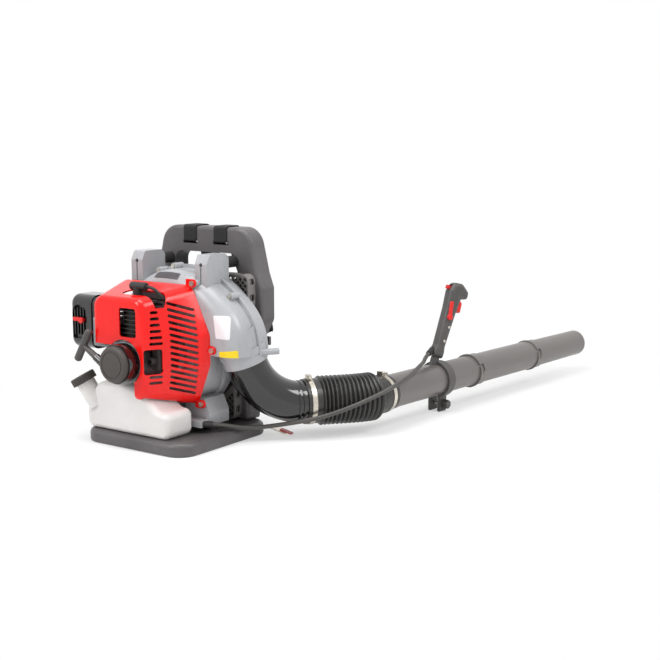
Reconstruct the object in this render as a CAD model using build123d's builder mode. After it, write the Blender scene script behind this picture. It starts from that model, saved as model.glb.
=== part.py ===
from build123d import *
import os
from math import asin, cos, degrees, radians, sin, sqrt, tan

os.makedirs("parts", exist_ok=True)

# Millimetres and degrees.
# Origin at the centre of the base underside, +Z up, +Y the way the wearer faces, +X to the wearer's right.

# Fits
shaft_gap = 0.05  # radial gap of a shaft in its bearing
play = 0.4  # gap between pieces that move past each other
hole_gap = 0.3  # radial gap of a screw in a through hole
seat_gap = 0.1  # gap between curved pieces that sit inside each other

# Base tray
base_width = 300.0
base_depth = 300.0
base_height = 30.0
base_corner = 45.0
base_edge = 12.0
base_rim = 14.0
base_skin = 4.0
base_rib = 5.0
base_ribs = 3
base_rib_pitch = 75.0

# Back panel, its carry handle and webbing slots
panel_front_y = 104.0
panel_depth = 44.0
panel_wall = 5.0
panel_waist = 118.0
panel_waist_z = 186.0
panel_half_width = 162.0
panel_hip_z = 262.0
panel_shoulder_z = 335.0
panel_neck = 150.0
panel_neck_z = 367.0
panel_head = 126.0
panel_top_z = 467.0
panel_head_corner = 46.0
panel_edge = 8.0
panel_hip_corner = 24.0
panel_neck_corner = 14.0
handle_width = 186.0
handle_height = 62.0
handle_z = 378.0
handle_corner = 22.0
slot_width = 44.0
slot_height = 8.0
slot_x = 45.0
slot_z = 431.0

# Harness
webbing = 2.2
webbing_width = 38.0
webbing_slack = 0.8
pad_width = 180.0
pad_height = 256.0
pad_z = 196.0
pad_thickness = 22.0
strap_width = 56.0
strap_thickness = 12.0
strap_top_z = 436.0
strap_low_z = 216.0
strap_stand_off = 22.0
tether_width = 22.0
tether_thickness = 2.5
buckle_width = 34.0
buckle_height = 26.0
buckle_thickness = 7.0

# Crank and fan axis
crank_x = -12.0
crank_z = 190.0

# Fan housing
housing_front_y = -24.0
housing_split_y = 44.0
housing_back_y = 80.0
housing_wall = 3.5
spiral_top = 378.0
shoulder_radius = 190.0
shoulder_turn = 33.5
flank_radius = 310.0
flank_turn = 14.5
drop_radius = 130.0
left_radius = 175.0
low_radius = 150.0
tongue_radius = 125.0
dome_depth = 36.0
dome_inset = 36.0
seam_lip = 8.0
seam_thickness = 4.0
eye_radius = 82.0
ear_width = 34.0
ear_offset = 95.0
ear_top_z = 414.0
ear_foot_z = 318.0
ear_front_y = -8.0
ear_back_y = 66.0
ear_lean = 10.0
ear_corner = 5.0
ear_hole = 4.5
ear_slit = 3.0
ear_slit_length = 44.0
ear_relief_depth = 14.0
foot_inner = 56.0
foot_outer = 125.0
foot_low_z = 44.0
foot_plate = 14.0
foot_top_z = 102.0
foot_slope = 14.0
foot_front_y = -50.0
foot_web_y = -22.0
seam_tab = 8.0
seam_boss = 24.0
seam_screw_radius = 2.0
seam_screw_head = 4.2

# Air outlet, elbow and hose
outlet_x = 150.0
outlet_z = 212.0
outlet_tilt = 19.0
outlet_heading = 35.0
outlet_lead = 42.0
collar_length = 36.0
collar_wall = 3.2
elbow_radius = 47.0
elbow_wall = 3.0
elbow_bend = 140.0
elbow_reach = 168.0
elbow_z = 80.0
elbow_rib = 2.4
elbow_rib_width = 4.0
elbow_ribs_at = (38.0, 48.0)
hose_crest = 56.0
hose_root = 49.5
hose_bore = 44.0
hose_ribs = 14
cuff_length = 26.0
cuff_wall = 3.6
clamp_width = 11.0
clamp_thickness = 1.2

# Blow tube
tube_x = 327.6
tube_y = 320.3
tube_z = 79.0
tube_heading = 4.8
tube_wall = 2.2
rear_tube_radius = 39.6
seat_radius = 38.8
front_tube_radius = 38.2
middle_tube_radius = 38.0
nozzle_radius = 36.2
nozzle_end_radius = 35.5
rear_tube_length = 396.0
middle_tube_length = 292.0
nozzle_length = 258.0
nozzle_straight = 60.0
spigot_length = 32.0
collar_width = 36.0
collar_rise = 3.0
collar_step = 4.0
bead_rise = 2.2
bead_width = 5.0
pin_radius = 3.0
twist_angle = 25.0

# Handle clamp and grip
clamp_s = 244.0
ring_wall = 6.5
ring_width = 26.0
lug_thickness = 9.0
lug_spacing = 27.0
bolt_radius = 4.0
bolt_drop = 60.0
knob_radius = 11.0
grip_s = 235.0
grip_rise = 60.0
grip_lean = (0.10, 0.37, 0.92)
grip_heading = 25.0
grip_half_width = 17.0
grip_wall = 5.0
grip_edge = 12.0

# Engine
cylinder_y = -104.0
bore_radius = 24.0
crankcase_radius = 44.0
crankcase_front_y = -146.0
crankcase_back_y = -50.0
deck_z = 236.0
head_z = 322.0
fin_count = 9
fin_thickness = 2.4
fin_width = 88.0
fin_depth = 72.0
crank_radius = 8.0
web_radius = 34.0
bearing_radius = 17.0
bearing_width = 10.0
bell_radius = 66.0
fan_radius = 104.0
fan_blades = 18
fan_front_y = 4.0
fan_back_y = 66.0
flywheel_radius = 52.0

# Engine cover
cover_back_y = -24.5
cover_front_y = -152.0
cover_left = -150.0
cover_right = 121.0
cover_low = 89.0
cover_high = 350.0
cover_corner = 32.0
cover_lean = 50.0
cover_tuck = 36.0
flank_high_z = 245.0
flank_low_z = 180.0
nose_left = -100.0
nose_right = 52.0
nose_low = 114.0
nose_high = 328.0
nose_corner = 26.0
nose_lean = 12.0
cover_edge = 15.0
cover_wall = 3.0
arch_radius = 50.0
arch_top_z = 226.0
window_width = 48.0
window_height = 62.0
window_x = 2.0
window_z = 277.0
side_slots = 15
side_slot_length = 66.0
side_slot_height = 6.2
side_slot_pitch = 13.0
side_slot_tilt = -17.0
slot_depth = 44.0
nose_slots = 6
nose_slot_length = 18.0
nose_slot_growth = 2.4
nose_slot_share = 0.17
low_slots = 3
low_slot_length = 30.0
plug_hatch = (108.0, 36.0)
plug_hatch_corner = 14.0
cover_screw_radius = 2.5
cover_screw_head = 6.0

# Starter
cup_radius = 42.5
cup_front_y = -176.0
cap_radius = 39.0
cap_front_y = -188.0
rope_y = -161.0
rope_radius = 32.0
rope_tilt = 30.6
rope_reach = 66.0
t_bar_length = 82.0
t_bar_radius = 8.5
t_stem_length = 44.0

# Fuel tank
tank_left = -145.0
tank_right = 98.0
tank_front_y = -140.0
tank_back_y = -55.0
tank_high_z = 137.0
tank_low_z = 87.0
tank_wall = 2.5
tank_edge = 14.0
tank_gap = 4.0
neck_radius = 21.0
filler_x = -150.0
filler_y = -142.0
filler_z = 142.0
filler_axis = (-0.42, -0.25, 0.87)
filler_cap_radius = 28.0
filler_cap_height = 17.0

# Air filter box
filter_left = -203.0
filter_right = -134.0
filter_front_y = -126.0
filter_back_y = -46.0
filter_low_z = 202.0
filter_high_z = 322.0
filter_edge = 22.0
filter_wall = 2.5

# Throttle cable
cable_radius = 5.0


def front_plane(y):
    """Upright plane at depth y seen from the front: local x is +X, local y is +Z, normal -Y."""
    return Plane(origin=(0, y, 0), x_dir=(1, 0, 0), z_dir=(0, -1, 0))


def side_plane(x):
    """Upright plane at width x: local x is +Y, local y is +Z, normal +X."""
    return Plane(origin=(x, 0, 0), x_dir=(0, 1, 0), z_dir=(1, 0, 0))


def heading(angle):
    """Level unit vector turned outwards from +Y by the angle."""
    return Vector(sin(radians(angle)), cos(radians(angle)), 0)


def save(builder, name):
    """Label a finished piece and write it as one STEP file."""
    builder.part.label = name
    export_step(builder.part, f"parts/{name}.step")


def post(plane, radius, length, mode=Mode.ADD):
    """Round bar that stands on the plane."""
    with Locations(plane):
        Cylinder(radius, length, align=(Align.CENTER, Align.CENTER, Align.MIN), mode=mode)


def block(low, high, mode=Mode.ADD):
    """Box between two corners."""
    sizes = [b - a for a, b in zip(low, high)]
    with Locations(tuple(low)):
        Box(*sizes, align=(Align.MIN, Align.MIN, Align.MIN), mode=mode)


def crank_drum(back_y, front_y, radius, mode=Mode.ADD):
    """Drum on the crank axis between two depths."""
    post(Plane(origin=(crank_x, back_y, crank_z), z_dir=(0, -1, 0)), radius, back_y - front_y, mode)


# Base tray: rounded slab, hollow from below, stiffened by a grid of ribs
with BuildPart() as base_tray:
    with BuildSketch():
        RectangleRounded(base_width, base_depth, base_corner)
    extrude(amount=base_height)
    fillet(base_tray.faces().sort_by(Axis.Z)[-1].edges(), base_edge)
    fillet(base_tray.faces().sort_by(Axis.Z)[0].edges(), base_edge / 2)
    with BuildSketch():
        RectangleRounded(base_width - 2 * base_rim, base_depth - 2 * base_rim, base_corner - base_rim)
    extrude(amount=base_height - base_skin, mode=Mode.SUBTRACT)
    with BuildSketch():
        with GridLocations(base_rib_pitch, base_rib_pitch, base_ribs, 1):
            Rectangle(base_rib, base_depth - base_rim)
        with GridLocations(base_rib_pitch, base_rib_pitch, 1, base_ribs):
            Rectangle(base_width - base_rim, base_rib)
    extrude(amount=base_height - base_skin)
save(base_tray, "base_tray")

# Back panel: waisted shield, hollow towards the wearer, with the carry handle's gap and two webbing slots
panel_back_y = panel_front_y + panel_depth


def panel_face(inset):
    """Panel outline in a front plane, moved in by inset."""
    half = [
        (panel_waist, base_height),
        (panel_waist, panel_waist_z),
        (panel_half_width, panel_hip_z),
        (panel_half_width, panel_shoulder_z),
        (panel_neck, panel_neck_z),
        (panel_head, panel_top_z),
    ]
    corners = half + [(-x, z) for x, z in reversed(half)]
    hips = [panel_hip_corner, panel_hip_corner]
    necks = [panel_neck_corner, panel_neck_corner]
    radii = [panel_edge, *hips, *necks, panel_head_corner]
    with BuildLine() as outline:
        FilletPolyline(*corners, radius=radii + radii[::-1], close=True)
    make_face(outline.edges())
    if inset:
        offset(amount=-inset)


def handle_gap(grow):
    """Hand opening of the carry handle, made larger by grow."""
    with Locations((0, handle_z)):
        RectangleRounded(handle_width + 2 * grow, handle_height + 2 * grow, handle_corner + grow)


def webbing_slots(grow):
    """Two slots that the webbing loops pass through, made larger by grow."""
    with Locations((-slot_x, slot_z), (slot_x, slot_z)):
        Rectangle(slot_width + 2 * grow, slot_height + 2 * grow)


with BuildPart() as back_panel:
    with BuildSketch(front_plane(panel_back_y)):
        panel_face(0)
    extrude(amount=panel_depth)
    fillet(back_panel.faces().sort_by(Axis.Y)[0].edges(), panel_edge)
    with BuildSketch(front_plane(panel_back_y)):
        panel_face(panel_wall)
        handle_gap(panel_wall)
        webbing_slots(panel_wall)
    extrude(amount=panel_depth - panel_wall, mode=Mode.SUBTRACT)
    with BuildSketch(front_plane(panel_back_y)):
        handle_gap(panel_wall)
        webbing_slots(panel_wall)
    extrude(amount=panel_depth - panel_wall / 2)
    with BuildSketch(front_plane(panel_back_y + panel_wall)):
        handle_gap(0)
        webbing_slots(0)
    extrude(amount=panel_depth + 2 * panel_wall, mode=Mode.SUBTRACT)
save(back_panel, "back_panel")

# Webbing loops round the carry bar
loop_low = slot_z + slot_height / 2 - webbing - webbing_slack
loop_high = panel_top_z + webbing_slack + webbing


def webbing_loop(x):
    """Flat band round the top bar, through its slot."""
    depth = panel_depth + 2 * (webbing + webbing_slack)
    height = loop_high - loop_low
    middle = (panel_front_y + panel_depth / 2, (loop_low + loop_high) / 2)
    with BuildSketch(side_plane(x - webbing_width / 2)) as band:
        with Locations(middle):
            RectangleRounded(depth, height, webbing + webbing_slack)
            RectangleRounded(depth - 2 * webbing, height - 2 * webbing, webbing_slack, mode=Mode.SUBTRACT)
    extrude(band.sketch, amount=webbing_width)


# Back pad: crowned cushion with drawn-in sides
pad_swell = 5.0
pad_crown = 34.0
pad_corner = 40.0
with BuildPart() as back_pad:
    for depth, grow in [(0, 0), (pad_thickness * 0.45, pad_swell), (pad_thickness, -pad_crown)]:
        with BuildSketch(front_plane(panel_back_y + depth)):
            with Locations((0, pad_z)):
                RectangleRounded(pad_width + grow, pad_height + grow, pad_corner)
    loft()
save(back_pad, "back_pad")

# Padded shoulder straps, hung from the carry bar down to a tether at each base corner
strap_rear_y = panel_back_y + webbing + webbing_slack + strap_thickness / 2
strap_steps = 6
strap_spread = 54.0
strap_turn = 130.0
tether_low_z = 44.0
tether_low_y = panel_back_y + tether_thickness + play
tether_low_x = 108.0


def strap_line(t):
    """Depth, height and sideways place along a shoulder strap, bowed away from the back pad."""
    z = strap_top_z + (strap_low_z - strap_top_z) * t
    y = strap_rear_y + (pad_thickness + strap_stand_off) * sin(radians(strap_turn * t))
    return Vector(slot_x + strap_spread * t * t, y, z)


def shoulder_strap(side):
    """Padded strip carried down the strap line."""
    sections = []
    for step in range(strap_steps + 1):
        t = step / strap_steps
        here = strap_line(t)
        ahead = strap_line(t + 0.02) - strap_line(t - 0.02)
        place = Vector(side * here.X, here.Y, here.Z)
        run = Vector(0, ahead.Y, ahead.Z)
        with BuildSketch(Plane(origin=place, x_dir=(1, 0, 0), z_dir=run)) as section:
            RectangleRounded(strap_width, strap_thickness, strap_thickness * 0.45)
        sections.append(section.sketch)
    loft(sections)


def tether(side):
    """Flat strap from the shoulder strap's end to the base corner."""
    end = strap_line(1)
    top = Vector(side * end.X, end.Y, end.Z - buckle_height - 1)
    low = Vector(side * tether_low_x, tether_low_y, tether_low_z)
    run = low - top
    with BuildSketch(Plane(origin=top, x_dir=(1, 0, 0), z_dir=run)) as section:
        Rectangle(tether_width, tether_thickness)
    extrude(section.sketch, amount=run.length)


with BuildPart() as shoulder_straps:
    for side in (-1, 1):
        shoulder_strap(side)
save(shoulder_straps, "shoulder_straps")

with BuildPart() as webbing_straps:
    for side in (-1, 1):
        webbing_loop(side * slot_x)
        tether(side)
save(webbing_straps, "webbing_straps")

with BuildPart() as strap_buckles:
    for side in (-1, 1):
        end = strap_line(1)
        with BuildSketch(side_plane(side * end.X - buckle_width / 2)):
            with Locations((end.Y, end.Z - buckle_height / 2)):
                RectangleRounded(buckle_thickness, buckle_height - 6, 2)
        extrude(amount=buckle_width)
save(strap_buckles, "strap_buckles")

# Fan housing: spiral drum with a domed front, an air outlet, two ears and two feet, split at the seam
duct_direction = Vector(
    sin(radians(outlet_tilt)) * sin(radians(outlet_heading)),
    sin(radians(outlet_tilt)) * cos(radians(outlet_heading)),
    -cos(radians(outlet_tilt)),
)
outlet_mouth = Vector(outlet_x, housing_split_y, outlet_z)
elbow_run = heading(outlet_heading)
collar_bore = elbow_radius + seat_gap
collar_radius = collar_bore + collar_wall
drop_turn = 90 - shoulder_turn - flank_turn
spiral_floor = outlet_z - 12.0


def spiral(inset, floor_z):
    """Spiral outline in a front plane: arcs that widen from the tongue round to the outlet."""
    top = (0, spiral_top - inset)
    with BuildLine() as outline:
        shoulder = JernArc(
            start=top, tangent=(1, 0), radius=shoulder_radius - inset, arc_size=-shoulder_turn
        )
        flank = JernArc(
            start=shoulder @ 1, tangent=shoulder % 1, radius=flank_radius - inset, arc_size=-flank_turn
        )
        drop = JernArc(start=flank @ 1, tangent=flank % 1, radius=drop_radius - inset, arc_size=-drop_turn)
        left = JernArc(start=top, tangent=(-1, 0), radius=left_radius - inset, arc_size=90)
        low = JernArc(start=left @ 1, tangent=left % 1, radius=low_radius - inset, arc_size=90)
        tongue = JernArc(start=low @ 1, tangent=low % 1, radius=tongue_radius - inset, arc_size=90)
        inner = ((tongue @ 1).X, floor_z)
        outer = ((drop @ 1).X, floor_z)
        Polyline(tongue @ 1, inner, outer, drop @ 1)
    make_face(outline.edges())


def spiral_drum(inset, mode):
    """Drum with a domed front, moved in by inset on every side."""
    floor_z = spiral_floor + inset
    dome_back = housing_front_y + dome_depth
    with BuildSketch(front_plane(housing_back_y - inset)) as wall:
        spiral(inset, floor_z)
    extrude(wall.sketch, amount=housing_back_y - inset - dome_back, mode=mode)
    sections = []
    for share in (0, 0.45, 0.8, 1):
        shrink = dome_inset * (1 - sqrt(1 - share * share))
        with BuildSketch(front_plane(dome_back - (dome_depth - inset) * share)) as section:
            spiral(inset + shrink, floor_z)
        sections.append(section.sketch)
    loft(sections, mode=mode)


def ear(side):
    """Upright ear on the housing's crown that a damper is bolted to."""
    with BuildSketch(side_plane(crank_x + side * ear_offset - ear_width / 2)) as shape:
        with BuildLine():
            FilletPolyline(
                (ear_front_y, ear_foot_z),
                (ear_front_y, ear_top_z - 2 * ear_lean),
                (ear_front_y + ear_lean, ear_top_z),
                (ear_back_y - ear_lean, ear_top_z),
                (ear_back_y, ear_top_z - ear_lean),
                (ear_back_y, ear_foot_z),
                radius=ear_corner,
                close=True,
            )
        make_face()
    extrude(shape.sketch, amount=ear_width)


def ear_relief(side):
    """Screw hole in the front of an ear, with a slit below it."""
    x = crank_x + side * ear_offset
    hole = Plane(origin=(x, ear_front_y - 1, damper_z), z_dir=(0, 1, 0))
    post(hole, ear_hole, ear_relief_depth, Mode.SUBTRACT)
    low = (x - ear_slit / 2, ear_front_y - 1, damper_z - ear_slit_length)
    high = (x + ear_slit / 2, ear_front_y + ear_relief_depth - 4, damper_z)
    block(low, high, Mode.SUBTRACT)


def foot(side):
    """Foot beside the drum: a sloping web up to the cover's lower screw on a plate over the damper."""
    inner = crank_x + side * foot_inner
    outer = crank_x + side * foot_outer
    with BuildSketch(front_plane(housing_split_y)) as web:
        with BuildLine():
            Polyline(
                (inner, foot_low_z),
                (outer, foot_low_z),
                (outer, foot_low_z + 2 * foot_plate),
                (outer - side * foot_slope, foot_top_z),
                (inner, foot_top_z),
                close=True,
            )
        make_face()
    extrude(web.sketch, amount=housing_split_y - foot_web_y)
    left = min(inner, outer)
    right = max(inner, outer)
    block((left, foot_front_y, foot_low_z), (right, housing_split_y, foot_low_z + foot_plate))


shoulder_centre = (0, spiral_top - shoulder_radius)
left_centre = (0, spiral_top - left_radius)
low_centre = (low_radius - left_radius, spiral_top - left_radius)
flank_centre = (
    (shoulder_radius - flank_radius) * sin(radians(shoulder_turn)),
    spiral_top - shoulder_radius + (shoulder_radius - flank_radius) * cos(radians(shoulder_turn)),
)


def rim_point(centre, radius, angle):
    """Place of a seam screw on the spiral's lip."""
    reach = radius + seam_screw_head + play
    return (centre[0] + reach * cos(radians(angle)), centre[1] + reach * sin(radians(angle)))


seam_screws_at = [
    rim_point(left_centre, left_radius, 97),
    rim_point(flank_centre, flank_radius, 49),
    rim_point(left_centre, left_radius, 112),
    rim_point(left_centre, left_radius, 160),
    rim_point(low_centre, low_radius, 205),
    rim_point(low_centre, low_radius, 262),
]
cover_screws_at = [
    Vector(cover_right - cover_lean + 5, housing_front_y, cover_high + 4),
    Vector(cover_right + 8, housing_front_y, (flank_high_z + flank_low_z) / 2),
    Vector(cover_right - cover_tuck + 12, housing_front_y, cover_low + 2),
]
boss_radius = 7.0
boss_length = 22.0
boss_drop = 7.0
boss_out = 38.0
boss_reach = 72.0
damper_z = ear_top_z - 22.0


def collar_boss(offset_along, out, along, reach):
    """Screw boss on the outlet collar: a round bar from a place beside the duct's axis."""
    foot_at = outlet_mouth + duct_direction * offset_along + out
    post(Plane(origin=foot_at, z_dir=along), boss_radius, reach)


def housing():
    """Both halves of the fan housing as one hollow body."""
    spiral_drum(0, Mode.ADD)
    duct_start = outlet_mouth - duct_direction * outlet_lead
    post(Plane(origin=duct_start, z_dir=duct_direction), collar_radius, outlet_lead + collar_length)
    post(Plane(origin=outlet_mouth, z_dir=duct_direction), collar_radius + 3, collar_length * 0.4)
    with BuildSketch(front_plane(housing_split_y + seam_thickness)) as lip:
        spiral(-seam_lip, spiral_floor)
        with Locations(*seam_screws_at):
            Circle(seam_tab)
    extrude(lip.sketch, amount=2 * seam_thickness)
    for x, z in seam_screws_at:
        post(Plane(origin=(x, housing_split_y, z), z_dir=(0, -1, 0)), seam_tab, seam_boss)
    for side in (-1, 1):
        ear(side)
        foot(side)
    across = heading(outlet_heading + 90)
    collar_boss(boss_drop, across * boss_out, elbow_run, boss_reach)
    collar_boss(boss_drop, elbow_run * -collar_radius - across * boss_radius, across, 2 * boss_radius)
    spiral_drum(housing_wall, Mode.SUBTRACT)
    for side in (-1, 1):
        ear_relief(side)
    for place in cover_screws_at:
        post(Plane(origin=place, z_dir=(0, 1, 0)), boss_radius, boss_length)
    duct_length = outlet_lead + collar_length
    post(Plane(origin=duct_start, z_dir=duct_direction), collar_bore, duct_length, Mode.SUBTRACT)
    crank_drum(housing_back_y + 1, housing_back_y - 2 * housing_wall, eye_radius, Mode.SUBTRACT)
    crank_drum(0, housing_front_y - 1, bell_radius - 8, Mode.SUBTRACT)
    with BuildSketch(front_plane(housing_split_y + seam_thickness)) as holes:
        with Locations(*seam_screws_at):
            Circle(seam_screw_radius + hole_gap)
    extrude(holes.sketch, amount=seam_thickness + seam_boss, mode=Mode.SUBTRACT)
    for place in cover_screws_at:
        post(Plane(origin=place, z_dir=(0, 1, 0)), cover_screw_radius + hole_gap, 14, Mode.SUBTRACT)


with BuildPart() as front_volute:
    housing()
    split(bisect_by=front_plane(housing_split_y), keep=Keep.TOP)
save(front_volute, "front_volute")

with BuildPart() as rear_volute:
    housing()
    split(bisect_by=front_plane(housing_split_y), keep=Keep.BOTTOM)
save(rear_volute, "rear_volute")

cover_lug = 4.0
with BuildPart() as housing_screws:
    for x, z in seam_screws_at:
        seat = Plane(origin=(x, housing_split_y - seam_boss, z), z_dir=(0, 1, 0))
        post(seat, seam_screw_radius, seam_boss + seam_thickness)
        post(Plane(origin=seat.origin, z_dir=(0, -1, 0)), seam_screw_head, 3)
    for place in cover_screws_at:
        seat = Plane(origin=(place.X, cover_back_y - cover_lug, place.Z), z_dir=(0, 1, 0))
        post(seat, cover_screw_radius, cover_lug + 12)
        post(Plane(origin=seat.origin, z_dir=(0, -1, 0)), cover_screw_head, 4)
save(housing_screws, "housing_screws")

# Rubber dampers: two behind the ears, two under the feet
with BuildPart() as rubber_dampers:
    for side in (-1, 1):
        ear_x = crank_x + side * ear_offset
        foot_x = crank_x + side * (foot_outer - 16)
        post(Plane(origin=(ear_x, ear_back_y, damper_z), z_dir=(0, 1, 0)), 13, panel_front_y - ear_back_y)
        post(Plane(origin=(foot_x, 4, base_height)), 13, foot_low_z - base_height)
save(rubber_dampers, "rubber_dampers")

# Intake guard: slotted wall between the housing and the back panel, with a diamond net round the drum
guard_wall = 3.0
guard_inset = 18.0
guard_waist_z = outlet_z + 26
guard_hip_z = outlet_z + 82
guard_bars = 46
guard_slot = 11.0
guard_corner = 18.0
net_eye = 124.0
net_pitch = 14.0
net_wire = 2.0
net_thickness = 2.4


def guard_face(inset):
    """Guard outline in a front plane, moved in by inset."""
    low = base_height + 4
    high = panel_neck_z
    hip = panel_half_width - guard_inset - inset
    waist = panel_waist - guard_inset - inset
    corners = [
        (waist, low + inset),
        (waist, guard_waist_z),
        (hip, guard_hip_z),
        (hip, high - inset),
        (-hip, high - inset),
        (-hip, guard_hip_z),
        (-waist, guard_waist_z),
        (-waist, low + inset),
    ]
    with BuildLine() as outline:
        FilletPolyline(*corners, radius=guard_corner, close=True)
    make_face(outline.edges())


def net_gaps():
    """Middles of the net's gaps: rows half a pitch apart, every other row moved by half a pitch."""
    spare = net_pitch / 2 + net_wire
    low = base_height + 4 + guard_wall + spare
    high = panel_neck_z - guard_wall - spare
    hip = panel_half_width - guard_inset - guard_wall - spare
    waist = panel_waist - guard_inset - guard_wall - spare
    gaps = []
    for row in range(int(2 * (high - low) / net_pitch) + 1):
        z = low + row * net_pitch / 2
        share = min(1, max(0, (z - guard_waist_z) / (guard_hip_z - guard_waist_z)))
        half = waist + (hip - waist) * share
        for column in range(-int(hip / net_pitch) - 1, int(hip / net_pitch) + 2):
            x = (column + row % 2 / 2) * net_pitch
            from_crank = sqrt((x - crank_x) ** 2 + (z - crank_z) ** 2)
            if abs(x) < half and from_crank > net_eye + spare:
                gaps.append((x, z))
    return gaps


with BuildPart() as intake_guard:
    with BuildSketch(front_plane(panel_front_y)):
        guard_face(0)
    extrude(amount=panel_front_y - housing_back_y)
    with BuildSketch(front_plane(panel_front_y)):
        guard_face(guard_wall)
    extrude(amount=panel_front_y - housing_back_y, mode=Mode.SUBTRACT)
    guard_middle = Vector(0, (panel_front_y + housing_back_y) / 2, (base_height + panel_neck_z) / 2)
    with Locations(Plane(origin=guard_middle, x_dir=(1, 0, 0), z_dir=(0, -1, 0))):
        with PolarLocations(panel_half_width, guard_bars):
            Box(
                panel_half_width,
                guard_slot,
                panel_front_y - housing_back_y - 3 * guard_wall,
                mode=Mode.SUBTRACT,
            )
    net_y = (panel_front_y + housing_back_y) / 2
    gap_side = net_pitch / sqrt(2) - net_wire
    with BuildSketch(front_plane(net_y)) as net:
        guard_face(guard_wall / 2)
        with Locations((crank_x, crank_z)):
            Circle(net_eye, mode=Mode.SUBTRACT)
        with Locations(*net_gaps()):
            Rectangle(gap_side, gap_side, rotation=45, mode=Mode.SUBTRACT)
    extrude(net.sketch, amount=net_thickness)
save(intake_guard, "intake_guard")

# Impeller: back plate, hub and curved blades
with BuildPart() as impeller:
    crank_drum(fan_front_y + 4, fan_front_y, fan_radius)
    crank_drum(fan_back_y - 20, fan_front_y, 22)
    with BuildSketch(front_plane(fan_back_y)):
        with Locations((crank_x, crank_z)):
            with PolarLocations(fan_radius * 0.72, fan_blades):
                Rectangle(fan_radius * 0.5, 2.4, rotation=32)
    extrude(amount=fan_back_y - fan_front_y - 2)
    crank_drum(fan_back_y, fan_front_y, crank_radius, Mode.SUBTRACT)
save(impeller, "impeller")

# Crankshaft with its webs and crank pin, the bearings, flywheel and coil
front_bearing_y = crankcase_front_y + 6 + bearing_width
rear_bearing_y = crankcase_back_y - 2
web_front_y = cylinder_y - 18
web_back_y = cylinder_y + 18
with BuildPart() as crankshaft:
    crank_drum(fan_back_y - 22, rope_y + 12, crank_radius)
    crank_drum(web_front_y + 10, web_front_y, web_radius)
    crank_drum(web_back_y, web_back_y - 10, web_radius)
    crank_drum(web_back_y - 10, web_front_y + 10, web_radius, Mode.SUBTRACT)
    with Locations((0, 0, 17)):
        crank_drum(web_back_y - 10, web_front_y + 10, 9)
save(crankshaft, "crankshaft")


def bearing(back_y):
    """Crank bearing ring."""
    crank_drum(back_y, back_y - bearing_width, bearing_radius)
    crank_drum(back_y, back_y - bearing_width, crank_radius + shaft_gap, Mode.SUBTRACT)


with BuildPart() as crank_bearings:
    bearing(front_bearing_y)
    bearing(rear_bearing_y)
save(crank_bearings, "crank_bearings")

with BuildPart() as flywheel:
    crank_drum(-2, housing_front_y + housing_wall + 3, flywheel_radius)
    crank_drum(-2, housing_front_y, crank_radius, Mode.SUBTRACT)
save(flywheel, "flywheel")

coil_low_z = crank_z + flywheel_radius + 1.5
with BuildPart() as ignition_coil:
    coil_y = housing_front_y + housing_wall
    block((crank_x - 22, coil_y, coil_low_z), (crank_x + 22, coil_y + 18, coil_low_z + 26))
    fillet(ignition_coil.edges().filter_by(Axis.Y), 3)
save(ignition_coil, "ignition_coil")

# Crankcase: barrel with a bell flange behind it and a deck for the cylinder
with BuildPart() as crankcase:
    crank_drum(crankcase_back_y, crankcase_front_y, crankcase_radius)
    crank_drum(housing_front_y, crankcase_back_y, bell_radius)
    block((crank_x - 36, cylinder_y - 34, crank_z), (crank_x + 36, cylinder_y + 34, deck_z))
    crank_drum(web_back_y + 2, web_front_y - 2, web_radius + 3, Mode.SUBTRACT)
    crank_drum(housing_front_y, crankcase_back_y + 4, flywheel_radius, Mode.SUBTRACT)
    crank_drum(housing_front_y, crankcase_front_y, crank_radius + 2, Mode.SUBTRACT)
    for back_y in (front_bearing_y, rear_bearing_y):
        crank_drum(back_y, back_y - bearing_width, bearing_radius, Mode.SUBTRACT)
    post(Plane(origin=(crank_x, cylinder_y, crank_z)), bore_radius, deck_z - crank_z, Mode.SUBTRACT)
save(crankcase, "crankcase")

# Cylinder: barrel with square fins, an exhaust stub and an inlet stub
fin_pitch = (head_z - deck_z - 10) / (fin_count - 1)
exhaust_z = deck_z + 20.0
inlet_z = deck_z + 18.0
muffler_left = crank_x + fin_width / 2 + 3
port_left = crank_x - fin_width / 2 - 2
with BuildPart() as cylinder:
    post(Plane(origin=(crank_x, cylinder_y, deck_z)), bore_radius + 6, head_z - deck_z)
    for step in range(fin_count):
        with BuildSketch(Plane.XY.offset(deck_z + 6 + step * fin_pitch)):
            with Locations((crank_x, cylinder_y)):
                RectangleRounded(fin_width, fin_depth, 10)
        extrude(amount=fin_thickness)
    exhaust_from = Plane(origin=(crank_x, cylinder_y, exhaust_z), z_dir=(1, 0, 0))
    post(exhaust_from, 11, muffler_left - crank_x)
    post(Plane(origin=exhaust_from.origin, z_dir=(-1, 0, 0)), 13, crank_x - port_left)
    post(Plane(origin=(crank_x, cylinder_y, deck_z)), bore_radius, head_z - deck_z - 12, Mode.SUBTRACT)
    post(Plane(origin=(crank_x, cylinder_y, deck_z)), 5, head_z - deck_z, Mode.SUBTRACT)
save(cylinder, "cylinder")

piston_length = 30.0
piston_top_z = head_z - 14.0
with BuildPart() as piston:
    piston_foot = Plane(origin=(crank_x, cylinder_y, piston_top_z - piston_length))
    post(piston_foot, bore_radius - shaft_gap, piston_length)
    post(
        Plane(origin=(crank_x, cylinder_y, piston_top_z - piston_length)),
        bore_radius - 4,
        piston_length - 6,
        Mode.SUBTRACT,
    )
save(piston, "piston")

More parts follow.
